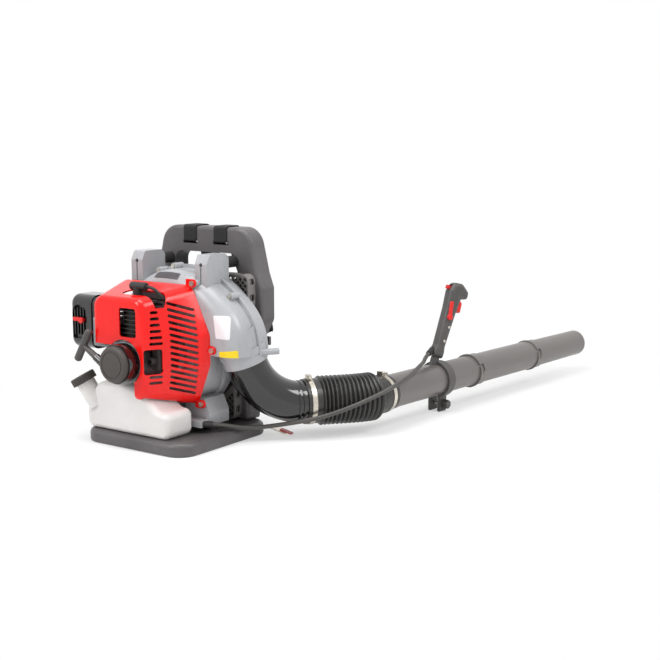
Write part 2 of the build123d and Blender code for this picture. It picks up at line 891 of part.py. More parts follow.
# Spark plug, its elbow boot and the lead to the coil
boot_z = head_z + 28.0
boot_radius = 10.0
with BuildPart() as spark_plug:
    post(Plane(origin=(crank_x, cylinder_y, head_z - 10)), 5, 10)
    post(Plane(origin=(crank_x, cylinder_y, head_z)), 9, 6)
    post(Plane(origin=(crank_x, cylinder_y, head_z + 6)), 5, 14)
save(spark_plug, "spark_plug")

with BuildPart() as plug_boot:
    post(Plane(origin=(crank_x, cylinder_y, head_z + 7)), boot_radius, boot_z - head_z - 7)
    post(Plane(origin=(crank_x - 18, cylinder_y, boot_z), z_dir=(1, 0, 0)), boot_radius - 1, 44)
    fillet(plug_boot.faces().sort_by(Axis.X)[-1].edges(), 2.5)
    fillet(plug_boot.faces().sort_by(Axis.X)[0].edges(), 2.5)
    post(Plane(origin=(crank_x, cylinder_y, head_z + 6)), 5 + seat_gap, 14 + seat_gap, Mode.SUBTRACT)
save(plug_boot, "plug_boot")

lead_radius = 3.5
lead_start = Vector(crank_x + 26, cylinder_y, boot_z)
lead_points = [
    lead_start,
    lead_start + Vector(17, 0, 0),
    lead_start + Vector(31, 3, -11),
    lead_start + Vector(35, 14, -27),
    lead_start + Vector(33, 36, -35),
    lead_start + Vector(25, 62, -44),
]


def tube_along(points, radius):
    """Round tube along straight runs joined by tangent arcs, each as large as its two runs allow."""
    radii = []
    for before, here, after in zip(points, points[1:], points[2:]):
        turn = (here - before).get_angle(after - here)
        shorter = min((here - before).length, (after - here).length)
        radii.append(0.45 * shorter / tan(radians(turn / 2)))
    with BuildLine() as route:
        FilletPolyline(*points, radius=radii)
    with BuildSketch(Plane(origin=points[0], z_dir=points[1] - points[0])) as section:
        Circle(radius)
    sweep(section.sketch, path=route.line)
    return radii


with BuildPart() as plug_lead:
    tube_along(lead_points, lead_radius)
save(plug_lead, "plug_lead")

# Muffler with its tailpipe
muffler_right = muffler_left + 27.0
muffler_front_y = cylinder_y - 14.0
muffler_back_y = cylinder_y + 48.0
muffler_low_z = exhaust_z - 84.0
muffler_high_z = exhaust_z + 14.0
tail_radius = 8.0
tail_z = 196.0
with BuildPart() as muffler:
    block((muffler_left, muffler_front_y, muffler_low_z), (muffler_right, muffler_back_y, muffler_high_z))
    fillet(muffler.edges().filter_by(Axis.Z), 9)
    fillet(muffler.faces().sort_by(Axis.Z)[-1].edges(), 5)
    fillet(muffler.faces().sort_by(Axis.Z)[0].edges(), 5)
    tail = Plane(origin=(muffler_right - 14, muffler_front_y + 2, tail_z), z_dir=(0, -1, 0))
    post(tail, tail_radius, 20)
    post(tail, tail_radius - 1.5, 20, Mode.SUBTRACT)
save(muffler, "muffler")

# Carburettor and primer bulb
carb_left = filter_right + 6.0
carb_right = port_left
primer_radius = 9.0
carb_bore = 9.0
primer_travel = 4.0
primer_x = (carb_left + carb_right) / 2
carb_front_y = cylinder_y - 22.0
primer_z = inlet_z - 26.0
with BuildPart() as carburettor:
    block((carb_left, carb_front_y, inlet_z - 42), (carb_right, cylinder_y + 22, inlet_z + 22))
    fillet(carburettor.edges().filter_by(Axis.X), 5)
    carb_mouth = Plane(origin=(carb_left, cylinder_y, inlet_z), z_dir=(1, 0, 0))
    post(carb_mouth, carb_bore, carb_right - carb_left, Mode.SUBTRACT)
    post(
        Plane(origin=(primer_x, carb_front_y, primer_z), z_dir=(0, 1, 0)),
        primer_radius + play,
        primer_travel + 2,
        Mode.SUBTRACT,
    )
save(carburettor, "carburettor")

with BuildPart() as primer_bulb:
    post(Plane(origin=(primer_x, carb_front_y, primer_z), z_dir=(0, -1, 0)), primer_radius, 9)
    fillet(primer_bulb.faces().sort_by(Axis.Y)[0].edges(), 6)
save(primer_bulb, "primer_bulb")

# Air filter: base plate, foam element, cover with an arched grille, knob and choke lever
with BuildPart() as filter_base:
    block(
        (filter_right, filter_front_y + 4, filter_low_z + 4),
        (carb_left, filter_back_y - 4, filter_high_z - 4),
    )
    fillet(filter_base.edges().filter_by(Axis.X), filter_edge - 4)
    inlet_mouth = Plane(origin=(filter_right, cylinder_y, inlet_z), z_dir=(1, 0, 0))
    post(inlet_mouth, carb_bore, carb_left - filter_right, Mode.SUBTRACT)
save(filter_base, "filter_base")

element_left = filter_left + 26.0
with BuildPart() as filter_element:
    block(
        (element_left, filter_front_y + 18, filter_low_z + 10),
        (filter_right, filter_back_y - 11, filter_high_z - 10),
    )
    fillet(filter_element.edges().filter_by(Axis.X), 8)
save(filter_element, "filter_element")

knob_y = (filter_front_y + filter_back_y) / 2
knob_z = filter_low_z + 44.0
filter_knob_radius = 13.0
arch_x = (filter_left + filter_right) / 2 - 4
choke_z = inlet_z + 12.0
choke_x = filter_left + 40.0
choke_pin = 3.0
with BuildPart() as filter_cover:
    block((filter_left, filter_front_y, filter_low_z), (filter_right, filter_back_y, filter_high_z))
    fillet(filter_cover.edges().filter_by(Axis.X), filter_edge)
    fillet(filter_cover.faces().sort_by(Axis.X)[0].edges(), filter_edge * 0.7)
    block(
        (filter_left + 2 * filter_wall, filter_front_y + 15, filter_low_z + 7),
        (filter_right, filter_back_y - 9, filter_high_z - 7),
        Mode.SUBTRACT,
    )
    with BuildSketch(front_plane(filter_front_y + 10)):
        with Locations((arch_x, filter_high_z - 46)):
            Circle(24)
        with Locations((arch_x, filter_high_z - 72)):
            Rectangle(48, 52)
    extrude(amount=11, mode=Mode.SUBTRACT)
    with BuildSketch(front_plane(filter_front_y + 10)):
        with Locations((arch_x, filter_high_z - 60)):
            with GridLocations(9, 1, 5, 1):
                Rectangle(2.6, 60)
    extrude(amount=6)
    knob_seat_plane = Plane(origin=(filter_left, knob_y, knob_z), z_dir=(1, 0, 0))
    post(knob_seat_plane, filter_knob_radius + 2, 5, Mode.SUBTRACT)
    post(Plane(origin=(filter_left, knob_y, knob_z), z_dir=(1, 0, 0)), 4 + play, 20, Mode.SUBTRACT)
    post(
        Plane(origin=(choke_x, filter_front_y + 16, choke_z), z_dir=(0, -1, 0)),
        choke_pin + shaft_gap,
        20,
        Mode.SUBTRACT,
    )
save(filter_cover, "filter_cover")

with BuildPart() as filter_knob:
    post(Plane(origin=(filter_left - 4, knob_y, knob_z), z_dir=(1, 0, 0)), filter_knob_radius, 7)
    fillet(filter_knob.faces().sort_by(Axis.X)[0].edges(), 2)
    with Locations(Plane(origin=(filter_left - 4, knob_y, knob_z), z_dir=(1, 0, 0))):
        with PolarLocations(filter_knob_radius + 1, 10):
            Cylinder(2.4, 20, mode=Mode.SUBTRACT)
    post(Plane(origin=(filter_left, knob_y, knob_z), z_dir=(1, 0, 0)), 4, 12)
save(filter_knob, "filter_knob")

choke_arm = 24.0
with BuildPart() as choke_lever:
    post(Plane(origin=(choke_x, filter_front_y + 12, choke_z), z_dir=(0, -1, 0)), choke_pin, 14)
    with BuildSketch(front_plane(filter_front_y - 0.6)):
        with Locations((choke_x, choke_z)):
            Circle(6.5)
        with Locations((choke_x - choke_arm / 2, choke_z + 2)):
            RectangleRounded(choke_arm, 8, 3)
    extrude(amount=5)
save(choke_lever, "choke_lever")

# Fuel hose from the tank's top to the carburettor
hose_radius = 3.2
fuel_start = Vector(primer_x, carb_front_y + 6, tank_high_z + 1)
fuel_points = [
    fuel_start,
    fuel_start + Vector(4, -1, 18),
    fuel_start + Vector(6, 0, 38),
    fuel_start + Vector(2, 3, 56),
    Vector(primer_x, carb_front_y + 8, inlet_z - 43),
]
with BuildPart() as fuel_hose:
    tube_along(fuel_points, hose_radius)
save(fuel_hose, "fuel_hose")

# Fuel tank: stepped bottle with a slanted filler neck, and its ribbed cap
filler_mouth = Vector(filler_x, filler_y, filler_z)
filler_run = Vector(*filler_axis).normalized()
neck_depth = 70.0
cap_skirt = 12.0


def tank_form(inset, mode=Mode.ADD):
    """Stepped tank body, moved in by inset."""
    with BuildSketch(front_plane(tank_back_y - inset)) as profile:
        with BuildLine():
            FilletPolyline(
                (tank_left, base_height),
                (tank_right, base_height),
                (tank_right, tank_low_z),
                (tank_right - 28, tank_low_z + 3),
                (crank_x + 16, tank_high_z),
                (tank_left + 38, tank_high_z),
                (tank_left, tank_high_z - 44),
                radius=[18, 18, 16, 34, 34, 26, 26],
                close=True,
            )
        make_face()
        if inset:
            offset(amount=-inset)
    extrude(profile.sketch, amount=tank_back_y - tank_front_y - 2 * inset, mode=mode)


with BuildPart() as tank_core:
    tank_form(tank_wall)
    fillet(tank_core.faces().sort_by(Axis.Y)[0].edges(), tank_edge - tank_wall)
    fillet(tank_core.faces().sort_by(Axis.Y)[-1].edges(), tank_edge - tank_wall)
    neck_foot = Plane(origin=filler_mouth - filler_run * neck_depth, z_dir=filler_run)
    post(neck_foot, neck_radius - 3, neck_depth + 1)

with BuildPart() as fuel_tank:
    tank_form(0)
    fillet(fuel_tank.faces().sort_by(Axis.Y)[0].edges(), tank_edge)
    fillet(fuel_tank.faces().sort_by(Axis.Y)[-1].edges(), tank_edge)
    post(Plane(origin=filler_mouth - filler_run * neck_depth, z_dir=filler_run), neck_radius, neck_depth)
    add(tank_core.part, mode=Mode.SUBTRACT)
save(fuel_tank, "fuel_tank")

with BuildPart() as fuel_cap:
    cap_base = filler_mouth - filler_run * cap_skirt
    post(Plane(origin=cap_base, z_dir=filler_run), filler_cap_radius, filler_cap_height)
    fillet(fuel_cap.faces().sort_by(Axis(cap_base, filler_run))[-1].edges(), 3)
    with Locations(Plane(origin=cap_base, z_dir=filler_run)):
        with PolarLocations(filler_cap_radius + 0.8, 26):
            Cylinder(2, 3 * filler_cap_height, mode=Mode.SUBTRACT)
    post(Plane(origin=cap_base, z_dir=filler_run), neck_radius + play, cap_skirt + play, Mode.SUBTRACT)
save(fuel_cap, "fuel_cap")

# Engine cover: lofted shell with an arch for the starter, a fin window and louvres
side_run = Vector(cover_right - nose_right, cover_back_y - cover_front_y, 0)
side_length = side_run.length
side_out = Vector(side_run.Y, -side_run.X, 0).normalized()


def cover_side(z):
    """Plane on the cover's right flank at height z: local x runs back from the nose."""
    return Plane(origin=(nose_right, cover_front_y, z), x_dir=side_run.normalized(), z_dir=side_out)


def cover_outline(y, low, high, lean, tuck, corner):
    """Six-cornered outline at depth y, widest on its right between the flank heights."""
    with BuildSketch(front_plane(y)) as outline:
        with BuildLine():
            FilletPolyline(
                low,
                (high[0] - tuck, low[1]),
                (high[0], flank_low_z),
                (high[0], flank_high_z),
                (high[0] - lean, high[1]),
                (low[0], high[1]),
                radius=corner,
                close=True,
            )
        make_face()
    return outline.sketch


def cover_form(inset):
    """Tapered body from the rear rim to the nose, moved in by inset."""
    rim_low = (cover_left + inset, cover_low + inset)
    rim_high = (cover_right - inset, cover_high - inset)
    nose_from = (nose_left + inset, nose_low + inset)
    nose_to = (nose_right - inset, nose_high - inset)
    rim = cover_outline(cover_back_y, rim_low, rim_high, cover_lean, cover_tuck, cover_corner - inset)
    nose_y = cover_front_y + inset
    nose = cover_outline(nose_y, nose_from, nose_to, nose_lean, nose_lean, nose_corner - inset)
    loft([rim, nose])


with BuildPart() as cover_core:
    cover_form(cover_wall)
    fillet(cover_core.faces().sort_by(Axis.Y)[0].edges(), cover_edge - cover_wall)

lug_radius = 9.0
exhaust_window = (40.0, 54.0)
exhaust_window_x = 18.0
with BuildPart() as engine_cover:
    cover_form(0)
    fillet(engine_cover.faces().sort_by(Axis.Y)[0].edges(), cover_edge)
    add(cover_core.part, mode=Mode.SUBTRACT)
    block(
        (cover_left - 5, cover_front_y - 5, cover_low - 5),
        (crank_x + arch_radius * 0.6, cover_back_y + 5, arch_top_z),
        Mode.SUBTRACT,
    )
    crank_drum(cover_back_y + 5, cover_front_y - 5, arch_radius, Mode.SUBTRACT)
    tank_form(-tank_gap, Mode.SUBTRACT)
    block(
        (cover_left - 5, cover_front_y + 26, cover_low),
        (nose_left - 4, filter_back_y + 6, filter_high_z + 4),
        Mode.SUBTRACT,
    )
    with BuildSketch(front_plane(cover_front_y + cover_edge)):
        with Locations((window_x, window_z)):
            RectangleRounded(window_width, window_height, 6)
    extrude(amount=cover_edge + 5, mode=Mode.SUBTRACT)
    with BuildSketch(Plane.XY.offset(nose_high - 20)):
        with Locations((crank_x + 18, cylinder_y)):
            RectangleRounded(*plug_hatch, plug_hatch_corner)
    extrude(amount=cover_high - nose_high + 40, mode=Mode.SUBTRACT)
    with BuildSketch(cover_side(0).offset(-slot_depth)):
        for step in range(side_slots):
            with Locations((side_length * 0.6, cover_high - 42 - step * side_slot_pitch)):
                SlotOverall(side_slot_length, side_slot_height, rotation=side_slot_tilt)
        for step in range(nose_slots):
            with Locations((side_length * nose_slot_share, nose_high - 28 - step * side_slot_pitch)):
                SlotOverall(nose_slot_length + nose_slot_growth * step, side_slot_height)
        for step in range(low_slots):
            with Locations((side_length * nose_slot_share, nose_low + 62 - step * side_slot_pitch)):
                SlotOverall(low_slot_length, side_slot_height)
        with Locations((exhaust_window_x, tail_z)):
            RectangleRounded(*exhaust_window, 6)
    extrude(amount=slot_depth + 10, mode=Mode.SUBTRACT)
    for place in cover_screws_at:
        with BuildSketch(front_plane(cover_back_y)):
            with Locations((place.X, place.Z)):
                Circle(lug_radius)
            with Locations((place.X - lug_radius, place.Z)):
                Rectangle(2 * lug_radius, 2 * lug_radius)
        extrude(amount=cover_lug)
    add(cover_core.part, mode=Mode.SUBTRACT)
    for place in cover_screws_at:
        post(
            Plane(origin=(place.X, place.Y + 1, place.Z), z_dir=(0, -1, 0)),
            cover_screw_radius + hole_gap,
            30,
            Mode.SUBTRACT,
        )
save(engine_cover, "engine_cover")

# Recoil starter: cup with a rope spout, cap, rope pulley and pull handle
rope_direction = Vector(-cos(radians(rope_tilt)), 0, sin(radians(rope_tilt)))
rope_start = Vector(
    crank_x - rope_radius * sin(radians(rope_tilt)), rope_y, crank_z - rope_radius * cos(radians(rope_tilt))
)
spout_end = rope_start + rope_direction * rope_reach
cup_wall = 3.2
hub_radius = 6.0
spout_radius = 9.0
rope_thickness = 4.0
with BuildPart() as starter_cup:
    crank_drum(crankcase_front_y, cup_front_y, cup_radius)
    spout_foot = Plane(origin=rope_start, z_dir=rope_direction)
    post(spout_foot, spout_radius, rope_reach)
    crank_drum(crankcase_front_y, cup_front_y + cup_wall, cup_radius - cup_wall, Mode.SUBTRACT)
    crank_drum(rope_y + 9, cup_front_y + cup_wall, hub_radius)
    post(spout_foot, rope_thickness / 2 + play, rope_reach, Mode.SUBTRACT)
save(starter_cup, "starter_cup")

with BuildPart() as starter_cap:
    crank_drum(cup_front_y, cap_front_y, cap_radius)
    fillet(starter_cap.faces().sort_by(Axis.Y)[0].edges(), 6)
    with BuildSketch(front_plane(cap_front_y + 1)):
        with Locations((crank_x, crank_z)):
            Circle(cap_radius - 10)
            Circle(cap_radius - 12, mode=Mode.SUBTRACT)
    extrude(amount=2, mode=Mode.SUBTRACT)
save(starter_cap, "starter_cap")

pulley_radius = rope_radius + rope_thickness + 2
pulley_half = 6.5
with BuildPart() as rope_pulley:
    crank_drum(rope_y + pulley_half, rope_y - pulley_half, pulley_radius)
    with BuildSketch(front_plane(rope_y + rope_thickness)):
        with Locations((crank_x, crank_z)):
            Circle(pulley_radius + 1)
            Circle(rope_radius - rope_thickness / 2, mode=Mode.SUBTRACT)
    extrude(amount=2 * rope_thickness, mode=Mode.SUBTRACT)
    crank_drum(rope_y + pulley_half, rope_y - pulley_half, hub_radius + shaft_gap, Mode.SUBTRACT)
save(rope_pulley, "rope_pulley")

t_direction = Vector(sin(radians(rope_tilt)), 0, cos(radians(rope_tilt)))
stem_start = spout_end + rope_direction * play
stem_end = stem_start + rope_direction * t_stem_length
with BuildPart() as pull_handle:
    with Locations(Plane(origin=stem_start, z_dir=rope_direction)):
        stem_align = (Align.CENTER, Align.CENTER, Align.MIN)
        Cone(spout_radius - 1.5, spout_radius - 3, t_stem_length, align=stem_align)
    bar = Plane(origin=stem_end - t_direction * t_bar_length / 2, z_dir=t_direction)
    post(bar, t_bar_radius, t_bar_length)
    fillet(pull_handle.faces().sort_by(Axis(stem_end, t_direction))[-1].edges(), t_bar_radius * 0.7)
    fillet(pull_handle.faces().sort_by(Axis(stem_end, t_direction))[0].edges(), t_bar_radius * 0.7)
save(pull_handle, "pull_handle")

# Outlet elbow: a bend from the housing's collar to the level hose
elbow_drop = outlet_z - elbow_z
elbow_swing = elbow_drop * tan(radians(outlet_tilt))
elbow_corner = outlet_mouth + elbow_run * elbow_swing - Vector(0, 0, elbow_drop)
elbow_end = outlet_mouth + elbow_run * elbow_reach - Vector(0, 0, elbow_drop)


def band(plane, inner, outer, length):
    """Ring round the plane's normal."""
    with BuildSketch(plane) as ring:
        Circle(outer)
        Circle(inner, mode=Mode.SUBTRACT)
    extrude(ring.sketch, amount=length)


with BuildPart() as elbow:
    with BuildLine() as elbow_path:
        FilletPolyline(outlet_mouth, elbow_corner, elbow_end, radius=elbow_bend)
    elbow_mouth = Plane(origin=outlet_mouth, z_dir=duct_direction)
    with BuildSketch(elbow_mouth) as skin:
        Circle(elbow_radius)
    sweep(skin.sketch, path=elbow_path.line)
    for back in elbow_ribs_at:
        rib_place = Plane(origin=elbow_end - elbow_run * back, z_dir=elbow_run)
        post(rib_place, elbow_radius + elbow_rib, elbow_rib_width)
    with BuildSketch(elbow_mouth) as bore:
        Circle(elbow_radius - elbow_wall)
    sweep(bore.sketch, path=elbow_path.line, mode=Mode.SUBTRACT)
save(elbow, "elbow")

# Bellows hose on a curve from the elbow's end to the blow tube's start
cuff_gap = 0.3
tube_start = Vector(tube_x, tube_y, tube_z)
tube_run = heading(tube_heading)
tube_side = Vector(tube_run.Y, -tube_run.X, 0)
hose_pull = (tube_start - elbow_end).length / 3
hose_knots = [elbow_end, elbow_end + elbow_run * hose_pull, tube_start - tube_run * hose_pull, tube_start]


def hose_plane(t):
    """Cross-section plane of the hose at share t of its curve, a cubic through four knots."""
    a, b, c, d = hose_knots
    place = a * (1 - t) ** 3 + b * 3 * t * (1 - t) ** 2 + c * 3 * t * t * (1 - t) + d * t**3
    run = (b - a) * (1 - t) ** 2 + (c - b) * 2 * t * (1 - t) + (d - c) * t * t
    return Plane(origin=place, x_dir=(0, 0, 1), z_dir=run)


def round_sections(stations):
    """Circles on their planes, ready for a ruled loft."""
    sections = []
    for plane, radius in stations:
        with BuildSketch(plane) as section:
            Circle(radius)
        sections.append(section.sketch)
    return sections


rear_cuff = Plane(origin=elbow_end - elbow_run * cuff_length, x_dir=(0, 0, 1), z_dir=elbow_run)
front_cuff = Plane(origin=tube_start + tube_run * cuff_length, x_dir=(0, 0, 1), z_dir=tube_run)
rear_cuff_radius = elbow_radius + cuff_gap + cuff_wall
front_cuff_radius = rear_tube_radius + cuff_gap + cuff_wall
rib_from = 0.05
rib_to = 0.87
cuff_step = 0.015
bore_steps = 8
rib_share = (rib_to - rib_from) / hose_ribs
hose_stations = [(rear_cuff, rear_cuff_radius), (hose_plane(0), rear_cuff_radius)]
for rib in range(hose_ribs):
    foot_t = rib_from + rib * rib_share
    for part_way, radius in [(0, hose_root), (0.3, hose_crest), (0.62, hose_crest), (0.92, hose_root)]:
        hose_stations.append((hose_plane(foot_t + part_way * rib_share), radius))
hose_stations.append((hose_plane(rib_to + cuff_step), front_cuff_radius))
hose_stations += [(hose_plane(1), front_cuff_radius), (front_cuff, front_cuff_radius)]
bore_stations = [(hose_plane(step / bore_steps), hose_bore) for step in range(bore_steps - 1)]
bore_stations.append((hose_plane(rib_to), front_cuff_radius - cuff_wall))
bore_stations.append((hose_plane(1), rear_tube_radius - tube_wall))
with BuildPart() as bellows_hose:
    loft(round_sections(hose_stations), ruled=True)
    loft(round_sections(bore_stations), ruled=True, mode=Mode.SUBTRACT)
    post(rear_cuff, elbow_radius + cuff_gap, cuff_length, Mode.SUBTRACT)
    post(Plane(origin=tube_start, z_dir=tube_run), rear_tube_radius + cuff_gap, cuff_length, Mode.SUBTRACT)
save(bellows_hose, "bellows_hose")


def hose_clamp(place, run, radius):
    """Steel band with a worm screw housing on top."""
    inner = radius + cuff_gap
    band_foot = Plane(origin=place - run * clamp_width / 2, z_dir=run)
    band(band_foot, inner, inner + clamp_thickness, clamp_width)
    across = Vector(run.Y, -run.X, 0)
    top = place + Vector(0, 0, inner + clamp_thickness / 2)
    with BuildSketch(Plane(origin=top, x_dir=across, z_dir=(0, 0, 1))) as box:
        RectangleRounded(18, clamp_width, 2)
    extrude(box.sketch, amount=9)
    post(Plane(origin=top + across * 8 + Vector(0, 0, 5), z_dir=across), 4, 9)


with BuildPart() as rear_hose_clamp:
    hose_clamp(elbow_end - elbow_run * cuff_length / 2, elbow_run, rear_cuff_radius)
save(rear_hose_clamp, "rear_hose_clamp")

with BuildPart() as front_hose_clamp:
    hose_clamp(tube_start + tube_run * cuff_length / 2, tube_run, front_cuff_radius)
save(front_hose_clamp, "front_hose_clamp")

# Blow tubes: each front tube's collar turns on the spigot of the tube behind it
twist_gap = 0.3
rear_spigot = middle_tube_radius - 0.6
front_spigot = nozzle_radius - 0.6
first_joint = rear_tube_length - collar_width / 2
second_joint = rear_tube_length + middle_tube_length - collar_width / 2
tube_end = rear_tube_length + middle_tube_length + nozzle_length
tube_axis = Axis(tube_start, tube_run)
tube_profile = Plane(origin=tube_start, x_dir=tube_run, z_dir=tube_side)


def wand(s):
    """Point on the blow tube's axis at distance s from its start."""
    return tube_start + tube_run * s


def turned_tube(outer, inner):
    """Tube turned from its outer and inner outlines, each a list of distance and radius."""
    with BuildSketch(tube_profile) as profile:
        with BuildLine():
            Polyline(*outer, *reversed(inner), close=True)
        make_face()
    revolve(profile.sketch, axis=tube_axis)


def lock_pins(s, spigot):
    """Two round pins on a spigot."""
    for side in (-1, 1):
        out = tube_side * side
        pin_foot = Plane(origin=wand(s) + out * (spigot - tube_wall / 2), z_dir=out)
        post(pin_foot, pin_radius, collar_rise + tube_wall)


def round_tube(angle):
    """Plane through the tube's axis whose local y points out from it at the angle below the right side."""
    out = tube_side * cos(radians(angle)) - Vector(0, 0, sin(radians(angle)))
    return Plane(origin=tube_start, x_dir=tube_run, z_dir=tube_run.cross(out))


def lock_slots(start, s, bore, outer):
    """Two bent slots in a collar: in along the tube, then round it."""
    half = pin_radius + play
    spare = degrees(asin(half / bore)) + 1
    middle = (bore + outer) / 2
    for base in (0, 180):
        with BuildSketch(round_tube(base - twist_angle - spare)) as slot:
            with Locations((s, middle)):
                Rectangle(2 * half, outer - bore + 2)
        revolve(slot.sketch, axis=tube_axis, revolution_arc=twist_angle + 2 * spare, mode=Mode.SUBTRACT)
        entry = round_tube(base - twist_angle)
        with Locations(entry * Location(((start + s) / 2 - 1, middle, 0))):
            Box(s - start + 2, outer - bore + 2, 2 * half, mode=Mode.SUBTRACT)


seat_half = ring_width / 2 + 10
seat_from = clamp_s - seat_half
seat_to = clamp_s + seat_half
taper = 34.0
stop_from = cuff_length + 8
stop_to = stop_from + 16
with BuildPart() as rear_tube:
    rear_outer = [
        (0, rear_tube_radius),
        (stop_from, rear_tube_radius),
        (stop_from, rear_tube_radius + collar_rise / 2),
        (stop_to, rear_tube_radius + collar_rise / 2),
        (stop_to, rear_tube_radius),
        (seat_from - taper, rear_tube_radius),
        (seat_from, seat_radius),
        (seat_to, seat_radius),
        (seat_to + 2 * taper, front_tube_radius),
        (first_joint, front_tube_radius),
        (first_joint, rear_spigot),
        (first_joint + spigot_length, rear_spigot),
    ]
    rear_inner = [(0, rear_tube_radius - tube_wall)]
    rear_inner += [(s, radius - tube_wall) for s, radius in rear_outer[5:9]]
    rear_inner += [(first_joint - 3, front_tube_radius - tube_wall), (first_joint, rear_spigot - tube_wall)]
    rear_inner += [(first_joint + spigot_length, rear_spigot - tube_wall)]
    turned_tube(rear_outer, rear_inner)
    lock_pins(first_joint + spigot_length / 2, rear_spigot)
save(rear_tube, "rear_tube")

middle_collar = rear_spigot + twist_gap + collar_rise
with BuildPart() as middle_tube:
    middle_outer = [
        (first_joint + play, middle_collar + bead_rise),
        (first_joint + bead_width, middle_collar + bead_rise),
        (first_joint + bead_width, middle_collar),
        (first_joint + collar_width, middle_collar),
        (first_joint + collar_width + collar_step, middle_tube_radius),
        (second_joint, middle_tube_radius),
        (second_joint, front_spigot),
        (second_joint + spigot_length, front_spigot),
    ]
    middle_inner = [
        (first_joint + play, rear_spigot + twist_gap),
        (first_joint + spigot_length + 2, rear_spigot + twist_gap),
        (first_joint + spigot_length + 3, middle_tube_radius - tube_wall),
        (second_joint - 3, middle_tube_radius - tube_wall),
        (second_joint, front_spigot - tube_wall),
        (second_joint + spigot_length, front_spigot - tube_wall),
    ]
    turned_tube(middle_outer, middle_inner)
    slot_s = first_joint + spigot_length / 2
    lock_slots(first_joint, slot_s, rear_spigot + twist_gap, middle_collar + bead_rise)
    lock_pins(second_joint + spigot_length / 2, front_spigot)
save(middle_tube, "middle_tube")

nozzle_collar = front_spigot + twist_gap + collar_rise
with BuildPart() as nozzle_tube:
    nozzle_outer = [
        (second_joint + play, nozzle_collar + bead_rise),
        (second_joint + bead_width, nozzle_collar + bead_rise),
        (second_joint + bead_width, nozzle_collar),
        (second_joint + collar_width, nozzle_collar),
        (second_joint + collar_width + collar_step, nozzle_radius),
        (tube_end - nozzle_straight, nozzle_end_radius),
        (tube_end, nozzle_end_radius),
    ]
    nozzle_inner = [
        (second_joint + play, front_spigot + twist_gap),
        (second_joint + spigot_length + 2, front_spigot + twist_gap),
        (second_joint + spigot_length + 3, nozzle_radius - tube_wall),
        (tube_end - nozzle_straight, nozzle_end_radius - tube_wall),
        (tube_end, nozzle_end_radius - tube_wall),
    ]
    turned_tube(nozzle_outer, nozzle_inner)
    slot_s = second_joint + spigot_length / 2
    lock_slots(second_joint, slot_s, front_spigot + twist_gap, nozzle_collar + bead_rise)
save(nozzle_tube, "nozzle_tube")

# Grip frame: a points forwards, b up along the grip and c to its right
grip_foot = wand(grip_s) + Vector(0, 0, grip_rise)
grip_up = Vector(*grip_lean).normalized()
grip_ahead = heading(grip_heading)
grip_ahead = (grip_ahead - grip_up * grip_ahead.dot(grip_up)).normalized()
grip_right = grip_ahead.cross(grip_up)
grip_plane = Plane(origin=grip_foot, x_dir=grip_ahead, z_dir=grip_right)


def grip_point(a, b, c):
    """Point in the grip's own frame."""
    return grip_foot + grip_ahead * a + grip_up * b + grip_right * c


def grip_block(low, high, mode=Mode.ADD):
    """Box square to the grip, between two corners of its own frame."""
    middle = [(p + q) / 2 for p, q in zip(low, high)]
    with Locations(Plane(origin=grip_point(*middle), x_dir=grip_ahead, z_dir=grip_right)):
        Box(*[q - p for p, q in zip(low, high)], mode=mode)


# Handle clamp: split ring with two lugs that stand on the floor and a tang inside the grip
tang_half = 8.0
tang_side = 6.5
with BuildPart() as handle_clamp:
    with BuildSketch(Plane(origin=wand(clamp_s), x_dir=tube_side, z_dir=-tube_run)):
        Circle(seat_radius + ring_wall)
        lug_top = -seat_radius * 0.8
        for side in (-1, 1):
            with Locations((side * lug_spacing / 2, (lug_top - tube_z) / 2)):
                RectangleRounded(lug_thickness, lug_top + tube_z, 3)
        with Locations((0, -seat_radius - ring_wall / 2)):
            Rectangle(lug_spacing - lug_thickness, 3 * ring_wall, mode=Mode.SUBTRACT)
    extrude(amount=ring_width / 2, both=True)
    grip_block((-tang_half, -26, -tang_side), (tang_half, 22, tang_side))
    ring_bore = Plane(origin=wand(clamp_s - 2 * ring_width), z_dir=tube_run)
    post(ring_bore, seat_radius + seat_gap, 3 * ring_width, Mode.SUBTRACT)
    bolt_from = wand(clamp_s) - tube_side * lug_spacing - Vector(0, 0, bolt_drop)
    post(Plane(origin=bolt_from, z_dir=tube_side), bolt_radius + play, 2 * lug_spacing, Mode.SUBTRACT)
save(handle_clamp, "handle_clamp")

bolt_reach = lug_spacing + lug_thickness
bolt_left = wand(clamp_s) - tube_side * (bolt_reach / 2) - Vector(0, 0, bolt_drop)
bolt_right = bolt_left + tube_side * bolt_reach
with BuildPart() as clamp_bolt:
    post(Plane(origin=bolt_left, z_dir=tube_side), bolt_radius, bolt_reach + 13)
    with BuildSketch(Plane(origin=bolt_left, z_dir=-tube_side)):
        RegularPolygon(7.5, 6)
    extrude(amount=5)
save(clamp_bolt, "clamp_bolt")

with BuildPart() as clamp_knob:
    knob_seat = bolt_right + tube_side * play
    post(Plane(origin=knob_seat, z_dir=tube_side), knob_radius, 16)
    fillet(clamp_knob.faces().sort_by(Axis(knob_seat, tube_side))[-1].edges(), 3)
    with Locations(Plane(origin=knob_seat, z_dir=tube_side)):
        with PolarLocations(knob_radius + 1.5, 6):
            Cylinder(4, 60, mode=Mode.SUBTRACT)
    post(Plane(origin=knob_seat, z_dir=tube_side), bolt_radius + shaft_gap, 13.5, Mode.SUBTRACT)
save(clamp_knob, "clamp_knob")

